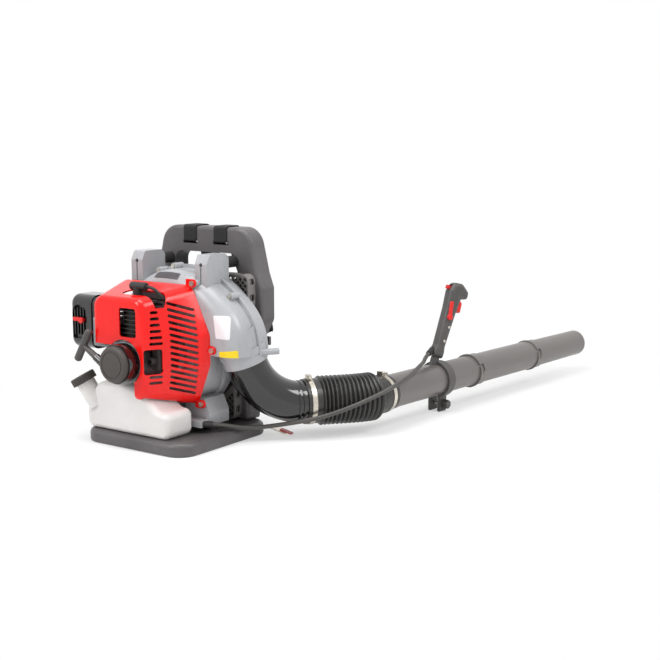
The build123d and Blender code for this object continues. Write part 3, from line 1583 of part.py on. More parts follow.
# Grip halves with the openings for the controls
grip_outline = [
    (-16, -4),
    (15, -4),
    (15, 12),
    (12, 26),
    (14, 106),
    (17, 150),
    (35, 157),
    (34, 174),
    (10, 189),
    (-14, 185),
    (-22, 162),
    (-17, 118),
    (-13, 26),
    (-16, 12),
]
grip_corners = [4, 4, 5, 6, 12, 8, 6, 10, 13, 12, 12, 12, 6, 5]
trigger_half = 4.8
trigger_pivot = (4.0, 150.0)
switch_low = 165.0
switch_height = 9.0
switch_travel = 5.0
switch_half = 4.5
lever_pivot = (-6.0, 98.0)
lever_hub = 7.0
lever_length = 44.0
lever_width = 9.0
lever_thickness = 5.0
lever_lean = 11.0
lever_shaft = 3.0
grip_screws_at = [(-1.0, 38.0), (1.0, 74.0)]
gland_radius = 7.0
gland_length = 26.0
gland_run = Vector(0.12, -0.94, -0.31).normalized()
gland_start = grip_point(-15, 12, 0)


def grip_half(side):
    """One half of the grip's shell; side is 1 for the right half."""
    with BuildSketch(grip_plane) as skin:
        with BuildLine():
            FilletPolyline(*grip_outline, radius=grip_corners, close=True)
        make_face()
    extrude(skin.sketch, amount=side * grip_half_width)
    outer = faces().sort_by(Axis(grip_foot, grip_right))[-1 if side > 0 else 0]
    fillet(outer.edges(), grip_edge)
    with BuildSketch(grip_plane) as pocket:
        with BuildLine():
            FilletPolyline(*grip_outline, radius=grip_corners, close=True)
        make_face()
        offset(amount=-grip_wall)
    extrude(pocket.sketch, amount=side * (grip_half_width - grip_wall), mode=Mode.SUBTRACT)
    for a, b in grip_screws_at:
        post(Plane(origin=grip_point(a, b, 0), z_dir=grip_right * side), 5, grip_half_width - grip_wall / 2)
    cut = trigger_half + play
    grip_block((6, 108, -cut), (45, 157, cut), Mode.SUBTRACT)
    slot = switch_half + play
    switch_high = switch_low + switch_height + switch_travel
    grip_block((-40, switch_low - play, -slot), (-12, switch_high + play, slot), Mode.SUBTRACT)
    grip_block((-tang_half, -8, -tang_side), (tang_half, 22, tang_side), Mode.SUBTRACT)
    for a, b in grip_screws_at:
        post(Plane(origin=grip_point(a, b, -30), z_dir=grip_right), 1.8, 60, Mode.SUBTRACT)
    shaft_at = Plane(origin=grip_point(*lever_pivot, 0), z_dir=grip_right)
    post(shaft_at, lever_shaft + shaft_gap, 2 * grip_half_width, Mode.SUBTRACT)
    post(Plane(origin=gland_start, z_dir=gland_run), gland_radius, gland_length, Mode.SUBTRACT)


with BuildPart() as grip_left:
    grip_half(-1)
save(grip_left, "grip_left")

with BuildPart() as grip_right_half:
    grip_half(1)
save(grip_right_half, "grip_right")

trigger_outline = [(4, 154), (14, 152), (27, 143), (29, 121), (24, 117), (19, 123), (17, 138), (1, 147)]
pin_radius_trigger = 2.0
with BuildPart() as throttle_trigger:
    with BuildSketch(grip_plane):
        with BuildLine():
            FilletPolyline(*trigger_outline, radius=1.5, close=True)
        make_face()
        with Locations(trigger_pivot):
            Circle(4.4)
            Circle(pin_radius_trigger + shaft_gap, mode=Mode.SUBTRACT)
    extrude(amount=trigger_half, both=True)
save(throttle_trigger, "throttle_trigger")

with BuildPart() as grip_fasteners:
    for a, b in grip_screws_at:
        post(Plane(origin=grip_point(a, b, -8), z_dir=grip_right), 1.7, grip_half_width + 8)
        post(Plane(origin=grip_point(a, b, grip_half_width), z_dir=grip_right), 3.4, 2)
    pin_half = grip_half_width - grip_wall
    pin_end = Plane(origin=grip_point(*trigger_pivot, -pin_half), z_dir=grip_right)
    post(pin_end, pin_radius_trigger, 2 * pin_half)
save(grip_fasteners, "grip_fasteners")

with BuildPart() as cruise_lever:
    lever_reach = (lever_length - lever_width) / 2
    lever_middle = (
        lever_pivot[0] - lever_reach * sin(radians(lever_lean)),
        lever_pivot[1] + lever_reach * cos(radians(lever_lean)),
    )
    with BuildSketch(grip_plane.offset(grip_half_width + play)):
        with Locations(lever_pivot):
            Circle(lever_hub)
        with Locations(lever_middle):
            SlotOverall(lever_length, lever_width, rotation=90 + lever_lean)
    extrude(amount=lever_thickness)
    fillet(cruise_lever.faces().sort_by(Axis(grip_foot, grip_right))[-1].edges(), 1.5)
    shaft_in = grip_half_width - grip_wall - 2
    shaft_seat = Plane(origin=grip_point(*lever_pivot, shaft_in), z_dir=grip_right)
    post(shaft_seat, lever_shaft, grip_half_width - shaft_in + 2)
save(cruise_lever, "cruise_lever")

with BuildPart() as stop_switch:
    grip_block((-29, switch_low, -switch_half), (-15, switch_low + switch_height, switch_half))
    fillet(stop_switch.faces().sort_by(Axis(grip_foot, grip_ahead))[0].edges(), 1.5)
save(stop_switch, "stop_switch")

# Cable glands at the grip and at the housing's foot, and the throttle cable between them in two stretches
with BuildPart() as grip_gland:
    post(Plane(origin=gland_start, z_dir=gland_run), gland_radius, gland_length)
save(grip_gland, "grip_gland")

anchor_run = Vector(0.5, 0.85, -0.12).normalized()
anchor_start = Vector(crank_x + foot_outer - 2, foot_front_y + 8, foot_low_z + foot_plate / 2)
anchor_end = anchor_start + anchor_run * 22
with BuildPart() as cable_anchor:
    post(Plane(origin=anchor_start, z_dir=anchor_run), gland_radius, 22)
save(cable_anchor, "cable_anchor")

gland_end = gland_start + gland_run * gland_length
cable_route = [
    anchor_end,
    anchor_end + anchor_run * 24,
    Vector(154, 28, 36),
    Vector(181, 66, 32),
    Vector(216, 96, 37),
    Vector(255, 117, 45),
    Vector(294, 142, 55),
    Vector(327, 174, 68),
    Vector(356, 214, 84),
    Vector(377, 261, 99),
    Vector(386, 318, 112),
    Vector(380, 378, 121),
    Vector(369, 432, 129),
    Vector(359, 478, 136),
    gland_end + gland_run * 24,
    gland_end,
]
cable_meet = 9
meet = (cable_route[cable_meet - 1] + cable_route[cable_meet]) / 2

with BuildPart() as cable_lower:
    lower_radii = tube_along(cable_route[:cable_meet] + [meet], cable_radius)
save(cable_lower, "cable_lower")

with BuildPart() as cable_upper:
    upper_radii = tube_along([meet] + cable_route[cable_meet:], cable_radius)
save(cable_upper, "cable_upper")
print("cable bend radii", [round(radius) for radius in lower_radii + upper_radii])

# Quick-release hook and its pull tab at the tray's rear right corner
hook_from = Vector(base_width / 2 + 1, base_depth / 2 - 14, base_height * 0.6)
hook_to = Vector(base_width / 2 + 46, base_depth / 2 - 2, 4)
hook_run = hook_to - hook_from
hook_side = Vector(-hook_run.Y, hook_run.X, 0).normalized()
hook_up = hook_run.cross(hook_side).normalized()
with BuildPart() as quick_release_hook:
    with BuildSketch(Plane(origin=hook_from, x_dir=hook_run.normalized(), z_dir=hook_up)):
        with Locations((hook_run.length / 2, 0)):
            RectangleRounded(hook_run.length, 24, 7)
        with Locations((hook_run.length * 0.74, 0)):
            RectangleRounded(12, 14, 3, mode=Mode.SUBTRACT)
    extrude(amount=3)
save(quick_release_hook, "quick_release_hook")

with BuildPart() as release_tab:
    with BuildSketch(Plane(origin=hook_from + hook_up * 3.2, x_dir=hook_run.normalized(), z_dir=hook_up)):
        with Locations((hook_run.length * 0.95, 0)):
            RectangleRounded(30, 16, 4)
    extrude(amount=2)
save(release_tab, "release_tab")
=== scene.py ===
"""Looks of a petrol backpack leaf blower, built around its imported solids.

Every length in the classes is in millimetres and is turned to metres where a mesh is made.
"""

import logging
import math
from dataclasses import dataclass
from enum import Enum

import bmesh
import bpy
import numpy as np
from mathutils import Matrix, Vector

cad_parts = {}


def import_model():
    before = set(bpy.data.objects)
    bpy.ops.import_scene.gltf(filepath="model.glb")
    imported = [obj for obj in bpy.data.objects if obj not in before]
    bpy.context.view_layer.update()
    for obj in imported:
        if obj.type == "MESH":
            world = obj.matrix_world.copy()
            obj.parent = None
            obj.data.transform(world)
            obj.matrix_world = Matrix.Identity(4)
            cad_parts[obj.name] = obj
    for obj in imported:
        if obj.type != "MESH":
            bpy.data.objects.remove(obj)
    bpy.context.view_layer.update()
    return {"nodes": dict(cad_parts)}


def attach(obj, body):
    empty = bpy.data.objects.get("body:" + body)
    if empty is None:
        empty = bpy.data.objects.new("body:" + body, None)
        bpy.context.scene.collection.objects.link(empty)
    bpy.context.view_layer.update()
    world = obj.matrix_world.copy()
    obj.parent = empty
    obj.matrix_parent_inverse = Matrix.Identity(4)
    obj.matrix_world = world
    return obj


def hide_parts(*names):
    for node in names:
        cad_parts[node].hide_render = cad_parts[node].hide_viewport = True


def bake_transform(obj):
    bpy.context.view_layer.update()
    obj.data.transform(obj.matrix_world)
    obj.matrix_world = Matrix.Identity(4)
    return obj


LOG = logging.getLogger("leaf_blower")
MM = 0.001
Array = np.ndarray
X_AXIS, Y_AXIS, Z_AXIS = np.eye(3)
BAND_SIDES = 28
BAND_POWERS = (0.35, 0.54)
AT_RIM = 0.999


class Coords(Enum):
    """The coordinates that a finish lays its pattern on."""

    OBJECT = "Object"
    UV = "UV"


class Half(Enum):
    """The two halves of the blow hose, split at its middle."""

    REAR = "rear"
    FRONT = "front"


def linear(code: str) -> tuple[float, float, float, float]:
    """Turn an sRGB hex colour into linear RGBA.

    Args:
        code: Colour as "#RRGGBB".

    Returns:
        Linear red, green, blue and an alpha of 1.
    """
    values = [int(code[k : k + 2], 16) / 255 for k in (1, 3, 5)]
    return (*[v / 12.92 if v <= 0.04045 else ((v + 0.055) / 1.055) ** 2.4 for v in values], 1.0)


def add_node(tree: bpy.types.NodeTree, kind: str, settings: dict | None = None, **inputs: object) -> bpy.types.Node:
    """Add one node, set its properties, and set or link its inputs.

    Args:
        tree: The node tree to add to.
        kind: Blender's type name of the node.
        settings: Properties of the node, by name.
        inputs: Values or sockets for the node's inputs, by name with spaces as underscores.

    Returns:
        The new node.
    """
    node = tree.nodes.new(kind)
    for name, value in (settings or {}).items():
        setattr(node, name, value)
    for name, value in inputs.items():
        wanted = [s for s in node.inputs if s.name.replace(" ", "_") == name and s.enabled]
        if isinstance(value, bpy.types.NodeSocket):
            tree.links.new(value, wanted[0])
        else:
            wanted[0].default_value = value
    return node


def per_metre(size_mm: float) -> float:
    """Texture scale whose features are size_mm across."""
    return 1000.0 / size_mm


@dataclass(frozen=True)
class Finish:
    """A surface: its colours, its gloss and the grain that its making leaves."""

    name: str
    colour: str
    tint: str
    roughness: float
    metallic: float = 0.0
    ior: float = 1.5
    coat: float = 0.0
    coat_roughness: float = 0.1
    tone_mm: float = 90.0
    smear_mm: float = 14.0
    smear: float = 0.05
    grain_mm: float = 1.4
    grain_depth_mm: float = 0.02
    stretch: tuple[float, float, float] = (1.0, 1.0, 1.0)

    def build(self) -> bpy.types.Material:
        """Make the material, or give the one made before.

        Returns:
            The procedural material of this finish.
        """
        made = bpy.data.materials.get(self.name)
        if made is not None:
            return made
        made = bpy.data.materials.new(self.name)
        made.use_nodes = True
        tree = made.node_tree
        tree.nodes.clear()
        shader = add_node(
            tree,
            "ShaderNodeBsdfPrincipled",
            Metallic=self.metallic,
            Coat_Weight=self.coat,
            Coat_Roughness=self.coat_roughness,
        )
        if self.metallic < 0.5:
            shader.inputs["IOR"].default_value = self.ior
        output = add_node(tree, "ShaderNodeOutputMaterial", Surface=shader.outputs["BSDF"])
        output.name = "Surface"
        self.pattern(tree, shader)
        return made

    def place(self, tree: bpy.types.NodeTree, coords: Coords = Coords.OBJECT) -> bpy.types.NodeSocket:
        """Give the coordinates of the pattern, stretched along the way the surface was worked.

        Args:
            tree: The material's node tree.
            coords: Which coordinates to read.

        Returns:
            The socket with the stretched coordinates.
        """
        source = add_node(tree, "ShaderNodeTexCoord")
        moved = add_node(tree, "ShaderNodeMapping", Vector=source.outputs[coords.value], Scale=self.stretch)
        return moved.outputs["Vector"]

    def tone(self, tree: bpy.types.NodeTree, where: bpy.types.NodeSocket) -> bpy.types.NodeSocket:
        """Give the base colour: two near tones drifting over tone_mm.

        Args:
            tree: The material's node tree.
            where: Coordinates.

        Returns:
            The colour socket.
        """
        drift = add_node(tree, "ShaderNodeTexNoise", Vector=where, Scale=per_metre(self.tone_mm), Detail=4.0)
        share = add_node(tree, "ShaderNodeMapRange", Value=drift.outputs["Fac"], From_Min=0.32, From_Max=0.68)
        mixed = add_node(
            tree,
            "ShaderNodeMix",
            {"data_type": "RGBA"},
            Factor=share.outputs["Result"],
            A=linear(self.colour),
            B=linear(self.tint),
        )
        return mixed.outputs[2]

    def pattern(self, tree: bpy.types.NodeTree, shader: bpy.types.Node) -> None:
        """Link tone, handling smears and moulded grain to the shader.

        Args:
            tree: The material's node tree.
            shader: The surface shader.
        """
        where = self.place(tree)
        tree.links.new(self.tone(tree, where), shader.inputs["Base Color"])
        smear = add_node(
            tree, "ShaderNodeTexNoise", Vector=where, Scale=per_metre(self.smear_mm), Detail=6.0, Roughness=0.65
        )
        rough = add_node(
            tree,
            "ShaderNodeMapRange",
            Value=smear.outputs["Fac"],
            From_Min=0.3,
            From_Max=0.7,
            To_Min=max(0.02, self.roughness - self.smear),
            To_Max=self.roughness + self.smear,
        )
        tree.links.new(rough.outputs["Result"], shader.inputs["Roughness"])
        grain = add_node(tree, "ShaderNodeTexNoise", Vector=where, Scale=per_metre(self.grain_mm), Detail=2.0)
        bump = add_node(
            tree, "ShaderNodeBump", Height=grain.outputs["Fac"], Distance=self.grain_depth_mm * MM, Strength=1.0
        )
        tree.links.new(bump.outputs["Normal"], shader.inputs["Normal"])


@dataclass(frozen=True)
class BlownPolyethylene(Finish):
    """Natural polyethylene: milky, lit from within, with faint flow clouds."""

    depth_mm: float = 9.0
    scatter: float = 0.55
    scatter_tint: tuple[float, float, float] = (1.0, 0.97, 0.92)

    def pattern(self, tree: bpy.types.NodeTree, shader: bpy.types.Node) -> None:
        """Add scattering under the skin to the plain pattern.

        Args:
            tree: The material's node tree.
            shader: The surface shader.
        """
        super().pattern(tree, shader)
        shader.inputs["Subsurface Weight"].default_value = self.scatter
        shader.inputs["Subsurface Radius"].default_value = self.scatter_tint
        shader.inputs["Subsurface Scale"].default_value = self.depth_mm * MM


@dataclass(frozen=True)
class WovenCloth(Finish):
    """Cloth of crossed yarns, raised and dipped in turn, laid on the piece's own UV map in metres."""

    yarn_mm: float = 2.2
    lift_mm: float = 0.25
    fuzz: float = 0.35

    def pattern(self, tree: bpy.types.NodeTree, shader: bpy.types.Node) -> None:
        """Link two crossed wave bands as yarns, with fuzz on the raised ones.

        Args:
            tree: The material's node tree.
            shader: The surface shader.
        """
        where = self.place(tree, Coords.UV)
        bands = []
        for direction in ("X", "Y"):
            wave = add_node(
                tree,
                "ShaderNodeTexWave",
                {"wave_type": "BANDS", "bands_direction": direction, "wave_profile": "SIN"},
                Vector=where,
                Scale=per_metre(self.yarn_mm) * math.pi / 10,
                Distortion=0.4,
                Detail=1.0,
            )
            bands.append(wave.outputs["Fac"])
        weave = add_node(tree, "ShaderNodeMath", {"operation": "MULTIPLY"})
        tree.links.new(bands[0], weave.inputs[0])
        tree.links.new(bands[1], weave.inputs[1])
        drift = add_node(tree, "ShaderNodeTexNoise", Vector=where, Scale=per_metre(self.tone_mm), Detail=5.0)
        share = add_node(tree, "ShaderNodeMath", {"operation": "MULTIPLY"})
        tree.links.new(weave.outputs["Value"], share.inputs[0])
        tree.links.new(drift.outputs["Fac"], share.inputs[1])
        mixed = add_node(
            tree,
            "ShaderNodeMix",
            {"data_type": "RGBA"},
            Factor=share.outputs["Value"],
            A=linear(self.colour),
            B=linear(self.tint),
        )
        tree.links.new(mixed.outputs[2], shader.inputs["Base Color"])
        bump = add_node(
            tree, "ShaderNodeBump", Height=weave.outputs["Value"], Distance=self.lift_mm * MM, Strength=0.9
        )
        tree.links.new(bump.outputs["Normal"], shader.inputs["Normal"])
        shader.inputs["Roughness"].default_value = self.roughness
        shader.inputs["Sheen Weight"].default_value = self.fuzz
        shader.inputs["Sheen Roughness"].default_value = 0.5


@dataclass(frozen=True)
class OpenMesh(Finish):
    """Spacer cloth or foam: round cells sunk into the face, cell_mm apart."""

    cell_mm: float = 3.0
    cell_depth_mm: float = 0.6
    fuzz: float = 0.25

    def pattern(self, tree: bpy.types.NodeTree, shader: bpy.types.Node) -> None:
        """Link a cell pattern to height and to a darker tint towards each cell's edge, painted shade that stands for
        the holes.

        Args:
            tree: The material's node tree.
            shader: The surface shader.
        """
        where = self.place(tree)
        cells = add_node(
            tree, "ShaderNodeTexVoronoi", Vector=where, Scale=per_metre(self.cell_mm), Randomness=0.35
        )
        share = add_node(tree, "ShaderNodeMapRange", Value=cells.outputs["Distance"], From_Min=0.15, From_Max=0.5)
        mixed = add_node(
            tree,
            "ShaderNodeMix",
            {"data_type": "RGBA"},
            Factor=share.outputs["Result"],
            A=linear(self.colour),
            B=linear(self.tint),
        )
        tree.links.new(mixed.outputs[2], shader.inputs["Base Color"])
        bump = add_node(
            tree, "ShaderNodeBump", Height=share.outputs["Result"], Distance=self.cell_depth_mm * MM, Strength=0.8
        )
        tree.links.new(bump.outputs["Normal"], shader.inputs["Normal"])
        shader.inputs["Roughness"].default_value = self.roughness
        shader.inputs["Sheen Weight"].default_value = self.fuzz


# Injection-moulded ABS: bright, with a clear gloss and the softest orange peel
RED_SHELL = Finish(
    "red_abs_gloss_moulded", "#EC100A", "#E00D08", 0.22, ior=1.4, coat=0.1, coat_roughness=0.06, smear=0.04,
    grain_mm=9.0, grain_depth_mm=0.03,
)
# Moulded nylon: a duller red than the shell, with a fine even mould grain
RED_LEVER = Finish("red_nylon_moulded", "#E0201C", "#C91714", 0.36, grain_mm=1.2, grain_depth_mm=0.015)
# Silver-filled nylon: satin, with a fine sparkle grain from the mould
SILVER_HOUSING = Finish(
    "silver_nylon_satin_moulded", "#A9AAAD", "#9FA1A4", 0.3, coat=0.15, coat_roughness=0.25, smear=0.05,
    grain_mm=1.6, grain_depth_mm=0.012,
)
# Polypropylene from a spark-eroded mould: a leathery grain that scatters highlights; its black base is lifted to a
# mid-grey, painted light standing for the bright light on it
BLACK_FRAME = Finish(
    "black_polypropylene_grained", "#5C595A", "#514E4F", 0.42, smear=0.06, grain_mm=1.3, grain_depth_mm=0.05
)
# Grained nylon: matt and finely pebbled, so that highlights spread along the edges; its black base is lifted to a
# mid-grey, painted light standing for the bright light on it
BLACK_GRIP = Finish(
    "black_nylon_grained", "#4E4B4A", "#434140", 0.44, smear=0.05, grain_mm=1.1, grain_depth_mm=0.045
)
# Polished ABS: mirror-like black with soft flow waves
BLACK_GLOSS = Finish(
    "black_abs_polished", "#151413", "#0F0E0E", 0.12, coat=0.6, coat_roughness=0.04, smear=0.03,
    grain_mm=16.0, grain_depth_mm=0.03,
)
# Blow-moulded polyethylene: satin with lengthwise drag lines; its grey-black base is lifted to a mid-grey, painted
# light standing for its sheen
TUBE = Finish(
    "grey_black_polyethylene_blown", "#706B68", "#656160", 0.32, smear=0.06, smear_mm=22.0, grain_mm=2.4,
    grain_depth_mm=0.005, stretch=(1.0, 0.12, 1.0),
)
# Moulded rubber: near black, with a soft shine on the crests and a patchy bloom
BELLOWS = Finish("black_rubber_moulded", "#343231", "#2B2A29", 0.32, smear=0.07, grain_mm=1.5, grain_depth_mm=0.03)
# Cured rubber block: flat black with almost no highlight
RUBBER = Finish("black_rubber_damper", "#262524", "#1E1D1D", 0.6, smear=0.06, grain_mm=1.2, grain_depth_mm=0.03)
# Extruded PVC: grey-black and smooth, with a narrow highlight along its length
SHEATH = Finish("grey_pvc_sheath_extruded", "#4C4946", "#42403D", 0.4, smear=0.06, grain_mm=1.0, grain_depth_mm=0.02)
# Matt moulded nylon: dark warm grey with a pebbled, light-catching skin
CAP = Finish("grey_nylon_matt_moulded", "#443F3C", "#3C3835", 0.55, smear=0.05, grain_mm=0.9, grain_depth_mm=0.04)
# Blown polyethylene: milky white, letting light into its wall, with a waxy shine
TANK = BlownPolyethylene("natural_polyethylene_blown", "#E6E3E0", "#DAD7D4", 0.34, smear=0.06, grain_mm=3.0)
# Zinc plate on pressed steel: grey-white with rolling lines
ZINC = Finish(
    "zinc_plated_steel_pressed", "#D8D2C6", "#BFB9AE", 0.3, metallic=1.0, smear=0.1, smear_mm=6.0, grain_mm=0.8,
    grain_depth_mm=0.01, stretch=(1.0, 1.0, 4.0),
)
# Turned steel: bright, with fine tool lines round the axis
STEEL = Finish(
    "carbon_steel_machined", "#B9B9BA", "#A3A4A6", 0.26, metallic=1.0, smear=0.08, smear_mm=4.0, grain_mm=0.7,
    grain_depth_mm=0.01, stretch=(1.0, 6.0, 1.0),
)
# Die-cast aluminium: dull silver with the sandy skin of the die
ALUMINIUM = Finish(
    "aluminium_die_cast", "#A7A9AB", "#8F9194", 0.48, metallic=1.0, smear=0.08, smear_mm=5.0, grain_mm=1.0,
    grain_depth_mm=0.06,
)
# Heatproof paint: dry, sooty black with a brown cast where it has been hot
HEAT_BLACK = Finish(
    "black_heatproof_paint", "#232221", "#2F2B28", 0.62, smear=0.1, smear_mm=10.0, grain_mm=0.8, grain_depth_mm=0.05
)
# Extruded soft PVC: clear yellow and glossy
FUEL_LINE = Finish("yellow_pvc_hose_extruded", "#D9B12A", "#C79C1E", 0.24, coat=0.3, grain_mm=2.0)
# Moulded clear rubber: smoky brown with a wet-looking shine
BULB = Finish("smoky_rubber_bulb_moulded", "#6B5A4A", "#5A4B3E", 0.2, coat=0.3, grain_mm=3.0)
# Open-cell foam: dry and pitted all over, with painted shade: a darker tint laid by the cell pattern
FOAM = OpenMesh("filter_foam_open_cell", "#5A5A50", "#22221E", 0.9, cell_mm=2.4, cell_depth_mm=0.8)
# Nylon webbing: heavy ribs of yarn, drawn about twice as coarse as real so that they show
WEBBING = WovenCloth("black_nylon_webbing_woven", "#0B0B0B", "#1C1B1B", 0.8, yarn_mm=3.0, lift_mm=0.35, fuzz=0.1)
# Woven polyester: dull, with a small even weave
PAD_CLOTH = WovenCloth("black_polyester_cloth_woven", "#1A1A1B", "#3C3C3E", 0.85, yarn_mm=2.4, lift_mm=0.22)
# Knitted spacer mesh: soft black pierced by rows of holes, with painted shade: a darker tint laid by the hole
# pattern
PAD_MESH = OpenMesh("black_spacer_mesh_knitted", "#39393B", "#121213", 0.85, cell_mm=4.2, cell_depth_mm=0.7)
# Moulded nylon net: black wires painted an even grey, a painted highlight that stands for the light they catch
NET_GREY_PAINTED_HIGHLIGHT = Finish("grey_nylon_net_moulded", "#83807E", "#747170", 0.38, smear=0.05, grain_mm=0.9, grain_depth_mm=0.03)
# Coated foil plates, bare: smooth and thin, the dark one with a metal glint
FOIL_DARK = Finish("coated_foil_dark", "#5A575A", "#4F4D50", 0.32, metallic=0.4, grain_mm=1.0, grain_depth_mm=0.01)
FOIL_WHITE = Finish("coated_foil_white", "#E9E8EA", "#DEDDE0", 0.35, grain_mm=1.0, grain_depth_mm=0.01)
FOIL_YELLOW = Finish("coated_foil_yellow", "#F2D419", "#E8C80F", 0.35, grain_mm=1.0, grain_depth_mm=0.01)

NODE_FINISH: dict[str, Finish] = {
    **dict.fromkeys(["base_tray", "back_panel", "strap_buckles"], BLACK_FRAME),
    **dict.fromkeys(["front_volute", "rear_volute"], SILVER_HOUSING),
    **dict.fromkeys(["engine_cover"], RED_SHELL),
    **dict.fromkeys(["throttle_trigger", "cruise_lever", "stop_switch", "choke_lever", "release_tab"], RED_LEVER),
    **dict.fromkeys(["housing_screws", "rear_hose_clamp", "front_hose_clamp", "clamp_bolt"], ZINC),
    **dict.fromkeys(["grip_fasteners", "quick_release_hook"], ZINC),
    **dict.fromkeys(["crankshaft", "crank_bearings", "spark_plug"], STEEL),
    **dict.fromkeys(["flywheel", "crankcase", "piston", "carburettor"], ALUMINIUM),
    **dict.fromkeys(["muffler", "ignition_coil", "cylinder"], HEAT_BLACK),
    **dict.fromkeys(["rubber_dampers", "plug_boot", "cable_anchor", "grip_gland"], RUBBER),
    **dict.fromkeys(["impeller", "rope_pulley", "filter_base"], BLACK_GRIP),
    **dict.fromkeys(["filter_cover", "starter_cup", "elbow"], BLACK_GLOSS),
    **dict.fromkeys(["starter_cap", "fuel_cap", "filter_knob"], CAP),
    **dict.fromkeys(["rear_tube", "middle_tube", "nozzle_tube"], TUBE),
    **dict.fromkeys(["handle_clamp", "clamp_knob", "grip_left", "grip_right", "pull_handle"], BLACK_GRIP),
    # the net's even grey is painted highlight on black wire
    "intake_guard": NET_GREY_PAINTED_HIGHLIGHT,
    "primer_bulb": BULB,
    "filter_element": FOAM,
    "fuel_tank": TANK,
}


def unit(vectors: Array) -> Array:
    """Scale vectors in the last axis to length 1."""
    return vectors / np.linalg.norm(vectors, axis=-1, keepdims=True)


def heading(degrees: float) -> Array:
    """Level unit vector turned from +Y towards +X."""
    return np.array([math.sin(math.radians(degrees)), math.cos(math.radians(degrees)), 0.0])


def quad_cells(rows: int, columns: int, wrap_rows: bool, wrap_columns: bool) -> tuple[Array, Array]:
    """Row and column numbers of a grid's quads; a wrapped side has one more."""
    i, j = np.meshgrid(np.arange(rows - 1 + wrap_rows), np.arange(columns - 1 + wrap_columns), indexing="ij")
    return i, j


def grid_faces(rows: int, columns: int, wrap_rows: bool, wrap_columns: bool) -> Array:
    """Corner numbers of the quads of a grid, row by row.

    Args:
        rows: Number of points along the first parameter.
        columns: Number of points along the second parameter.
        wrap_rows: Whether the last row joins the first.
        wrap_columns: Whether the last column joins the first.

    Returns:
        An array of four corner numbers for each quad.
    """
    i, j = quad_cells(rows, columns, wrap_rows, wrap_columns)
    up, over = (i + 1) % rows, (j + 1) % columns
    quads = [i * columns + j, up * columns + j, up * columns + over, i * columns + over]
    return np.stack(quads, axis=-1).reshape(-1, 4)


def signed_volume(points: Array, quads: Array) -> float:
    """Volume inside closed quads, negative where they face inwards.

    Args:
        points: Corner points.
        quads: Corner numbers.

    Returns:
        A third of the sum, over both triangles of each quad, of their determinants.
    """
    a, b, c, d = (points[quads[:, k]] for k in range(4))
    return float((np.einsum("ij,ij->i", a, np.cross(b, c)) + np.einsum("ij,ij->i", a, np.cross(c, d))).sum() / 6)


def new_piece(
    name: str,
    grid: Array,
    wrap_rows: bool = False,
    wrap_columns: bool = False,
    caps: bool = False,
    uv: Array | None = None,
    merge: bool = False,
    sharp: float = 50.0,
) -> bpy.types.Object:
    """Make a mesh piece from a grid of points in millimetres.

    Args:
        name: Name of the piece.
        grid: Points by row and column.
        wrap_rows: Whether the last row joins the first.
        wrap_columns: Whether the last column joins the first.
        caps: Whether the first and last rows are closed with a flat face.
        uv: Pattern coordinates in metres, one row and column more than the grid on wrapped sides.
        merge: Whether points in the same place are joined.
        sharp: Angle in degrees above which an edge is drawn sharp.

    Returns:
        The new object, at the origin.
    """
    rows, columns = grid.shape[:2]
    points = grid.reshape(-1, 3) * MM
    quads = grid_faces(rows, columns, wrap_rows, wrap_columns)
    corner_uv = None
    if uv is not None:
        wide = uv.shape[1]
        i, j = quad_cells(rows, columns, wrap_rows, wrap_columns)
        flat = uv.reshape(-1, 2)
        numbers = np.stack([i * wide + j, (i + 1) * wide + j, (i + 1) * wide + j + 1, i * wide + j + 1], axis=-1)
        corner_uv = flat[numbers.reshape(-1, 4)]
    if signed_volume(points, quads) < 0:
        quads = quads[:, ::-1]
        corner_uv = None if corner_uv is None else corner_uv[:, ::-1]
    faces = quads.tolist()
    if caps:
        first, last = np.arange(columns), (rows - 1) * columns + np.arange(columns)
        middle = points.reshape(rows, columns, 3).mean(axis=1)
        for ring, outward in ((first, middle[0] - middle[1]), (last, middle[-1] - middle[-2])):
            corners = points[ring]
            normal = np.cross(corners, np.roll(corners, -1, axis=0)).sum(axis=0)
            faces.append((ring if normal @ outward > 0 else ring[::-1]).tolist())
    mesh = bpy.data.meshes.new(name)
    mesh.from_pydata(points.tolist(), [], faces)
    if corner_uv is not None:
        layer = mesh.uv_layers.new(name="weave")
        values = np.zeros((len(mesh.loops), 2))
        values[: corner_uv.shape[0] * 4] = corner_uv.reshape(-1, 2)
        layer.data.foreach_set("uv", values.astype(np.float32).ravel())
    if merge:
        work = bmesh.new()
        work.from_mesh(mesh)
        bmesh.ops.remove_doubles(work, verts=work.verts, dist=1e-6)
        bmesh.ops.recalc_face_normals(work, faces=work.faces)
        work.to_mesh(mesh)
        work.free()
    mesh.polygons.foreach_set("use_smooth", np.ones(len(mesh.polygons), bool))
    mesh.set_sharp_from_angle(angle=math.radians(sharp))
    piece = bpy.data.objects.new(name, mesh)
    bpy.context.scene.collection.objects.link(piece)
    return piece


def dress(piece: bpy.types.Object, finish: Finish) -> bpy.types.Object:
    """Give a piece its finish.

    Args:
        piece: The object.
        finish: Its finish.

    Returns:
        The same object.
    """
    piece.data.materials.clear()
    piece.data.materials.append(finish.build())
    LOG.info("%s: %s", piece.name, finish.name)
    return piece


def circles(path: Array, side: Array, lift: Array, radius: Array, sides: int) -> Array:
    """Circles round the points of a path: p + r (cos a * side + sin a * lift).

    Args:
        path: Points of the middle line.
        side: First direction of each circle's plane.
        lift: Second direction of each circle's plane.
        radius: Radius at each point.
        sides: Points round each circle.

    Returns:
        A grid of points, one row for each point of the path.
    """
    turn = np.linspace(0, 2 * math.pi, sides, endpoint=False)
    wheel = np.cos(turn)[None, :, None] * side[:, None] + np.sin(turn)[None, :, None] * lift[:, None]
    return path[:, None] + radius[:, None, None] * wheel


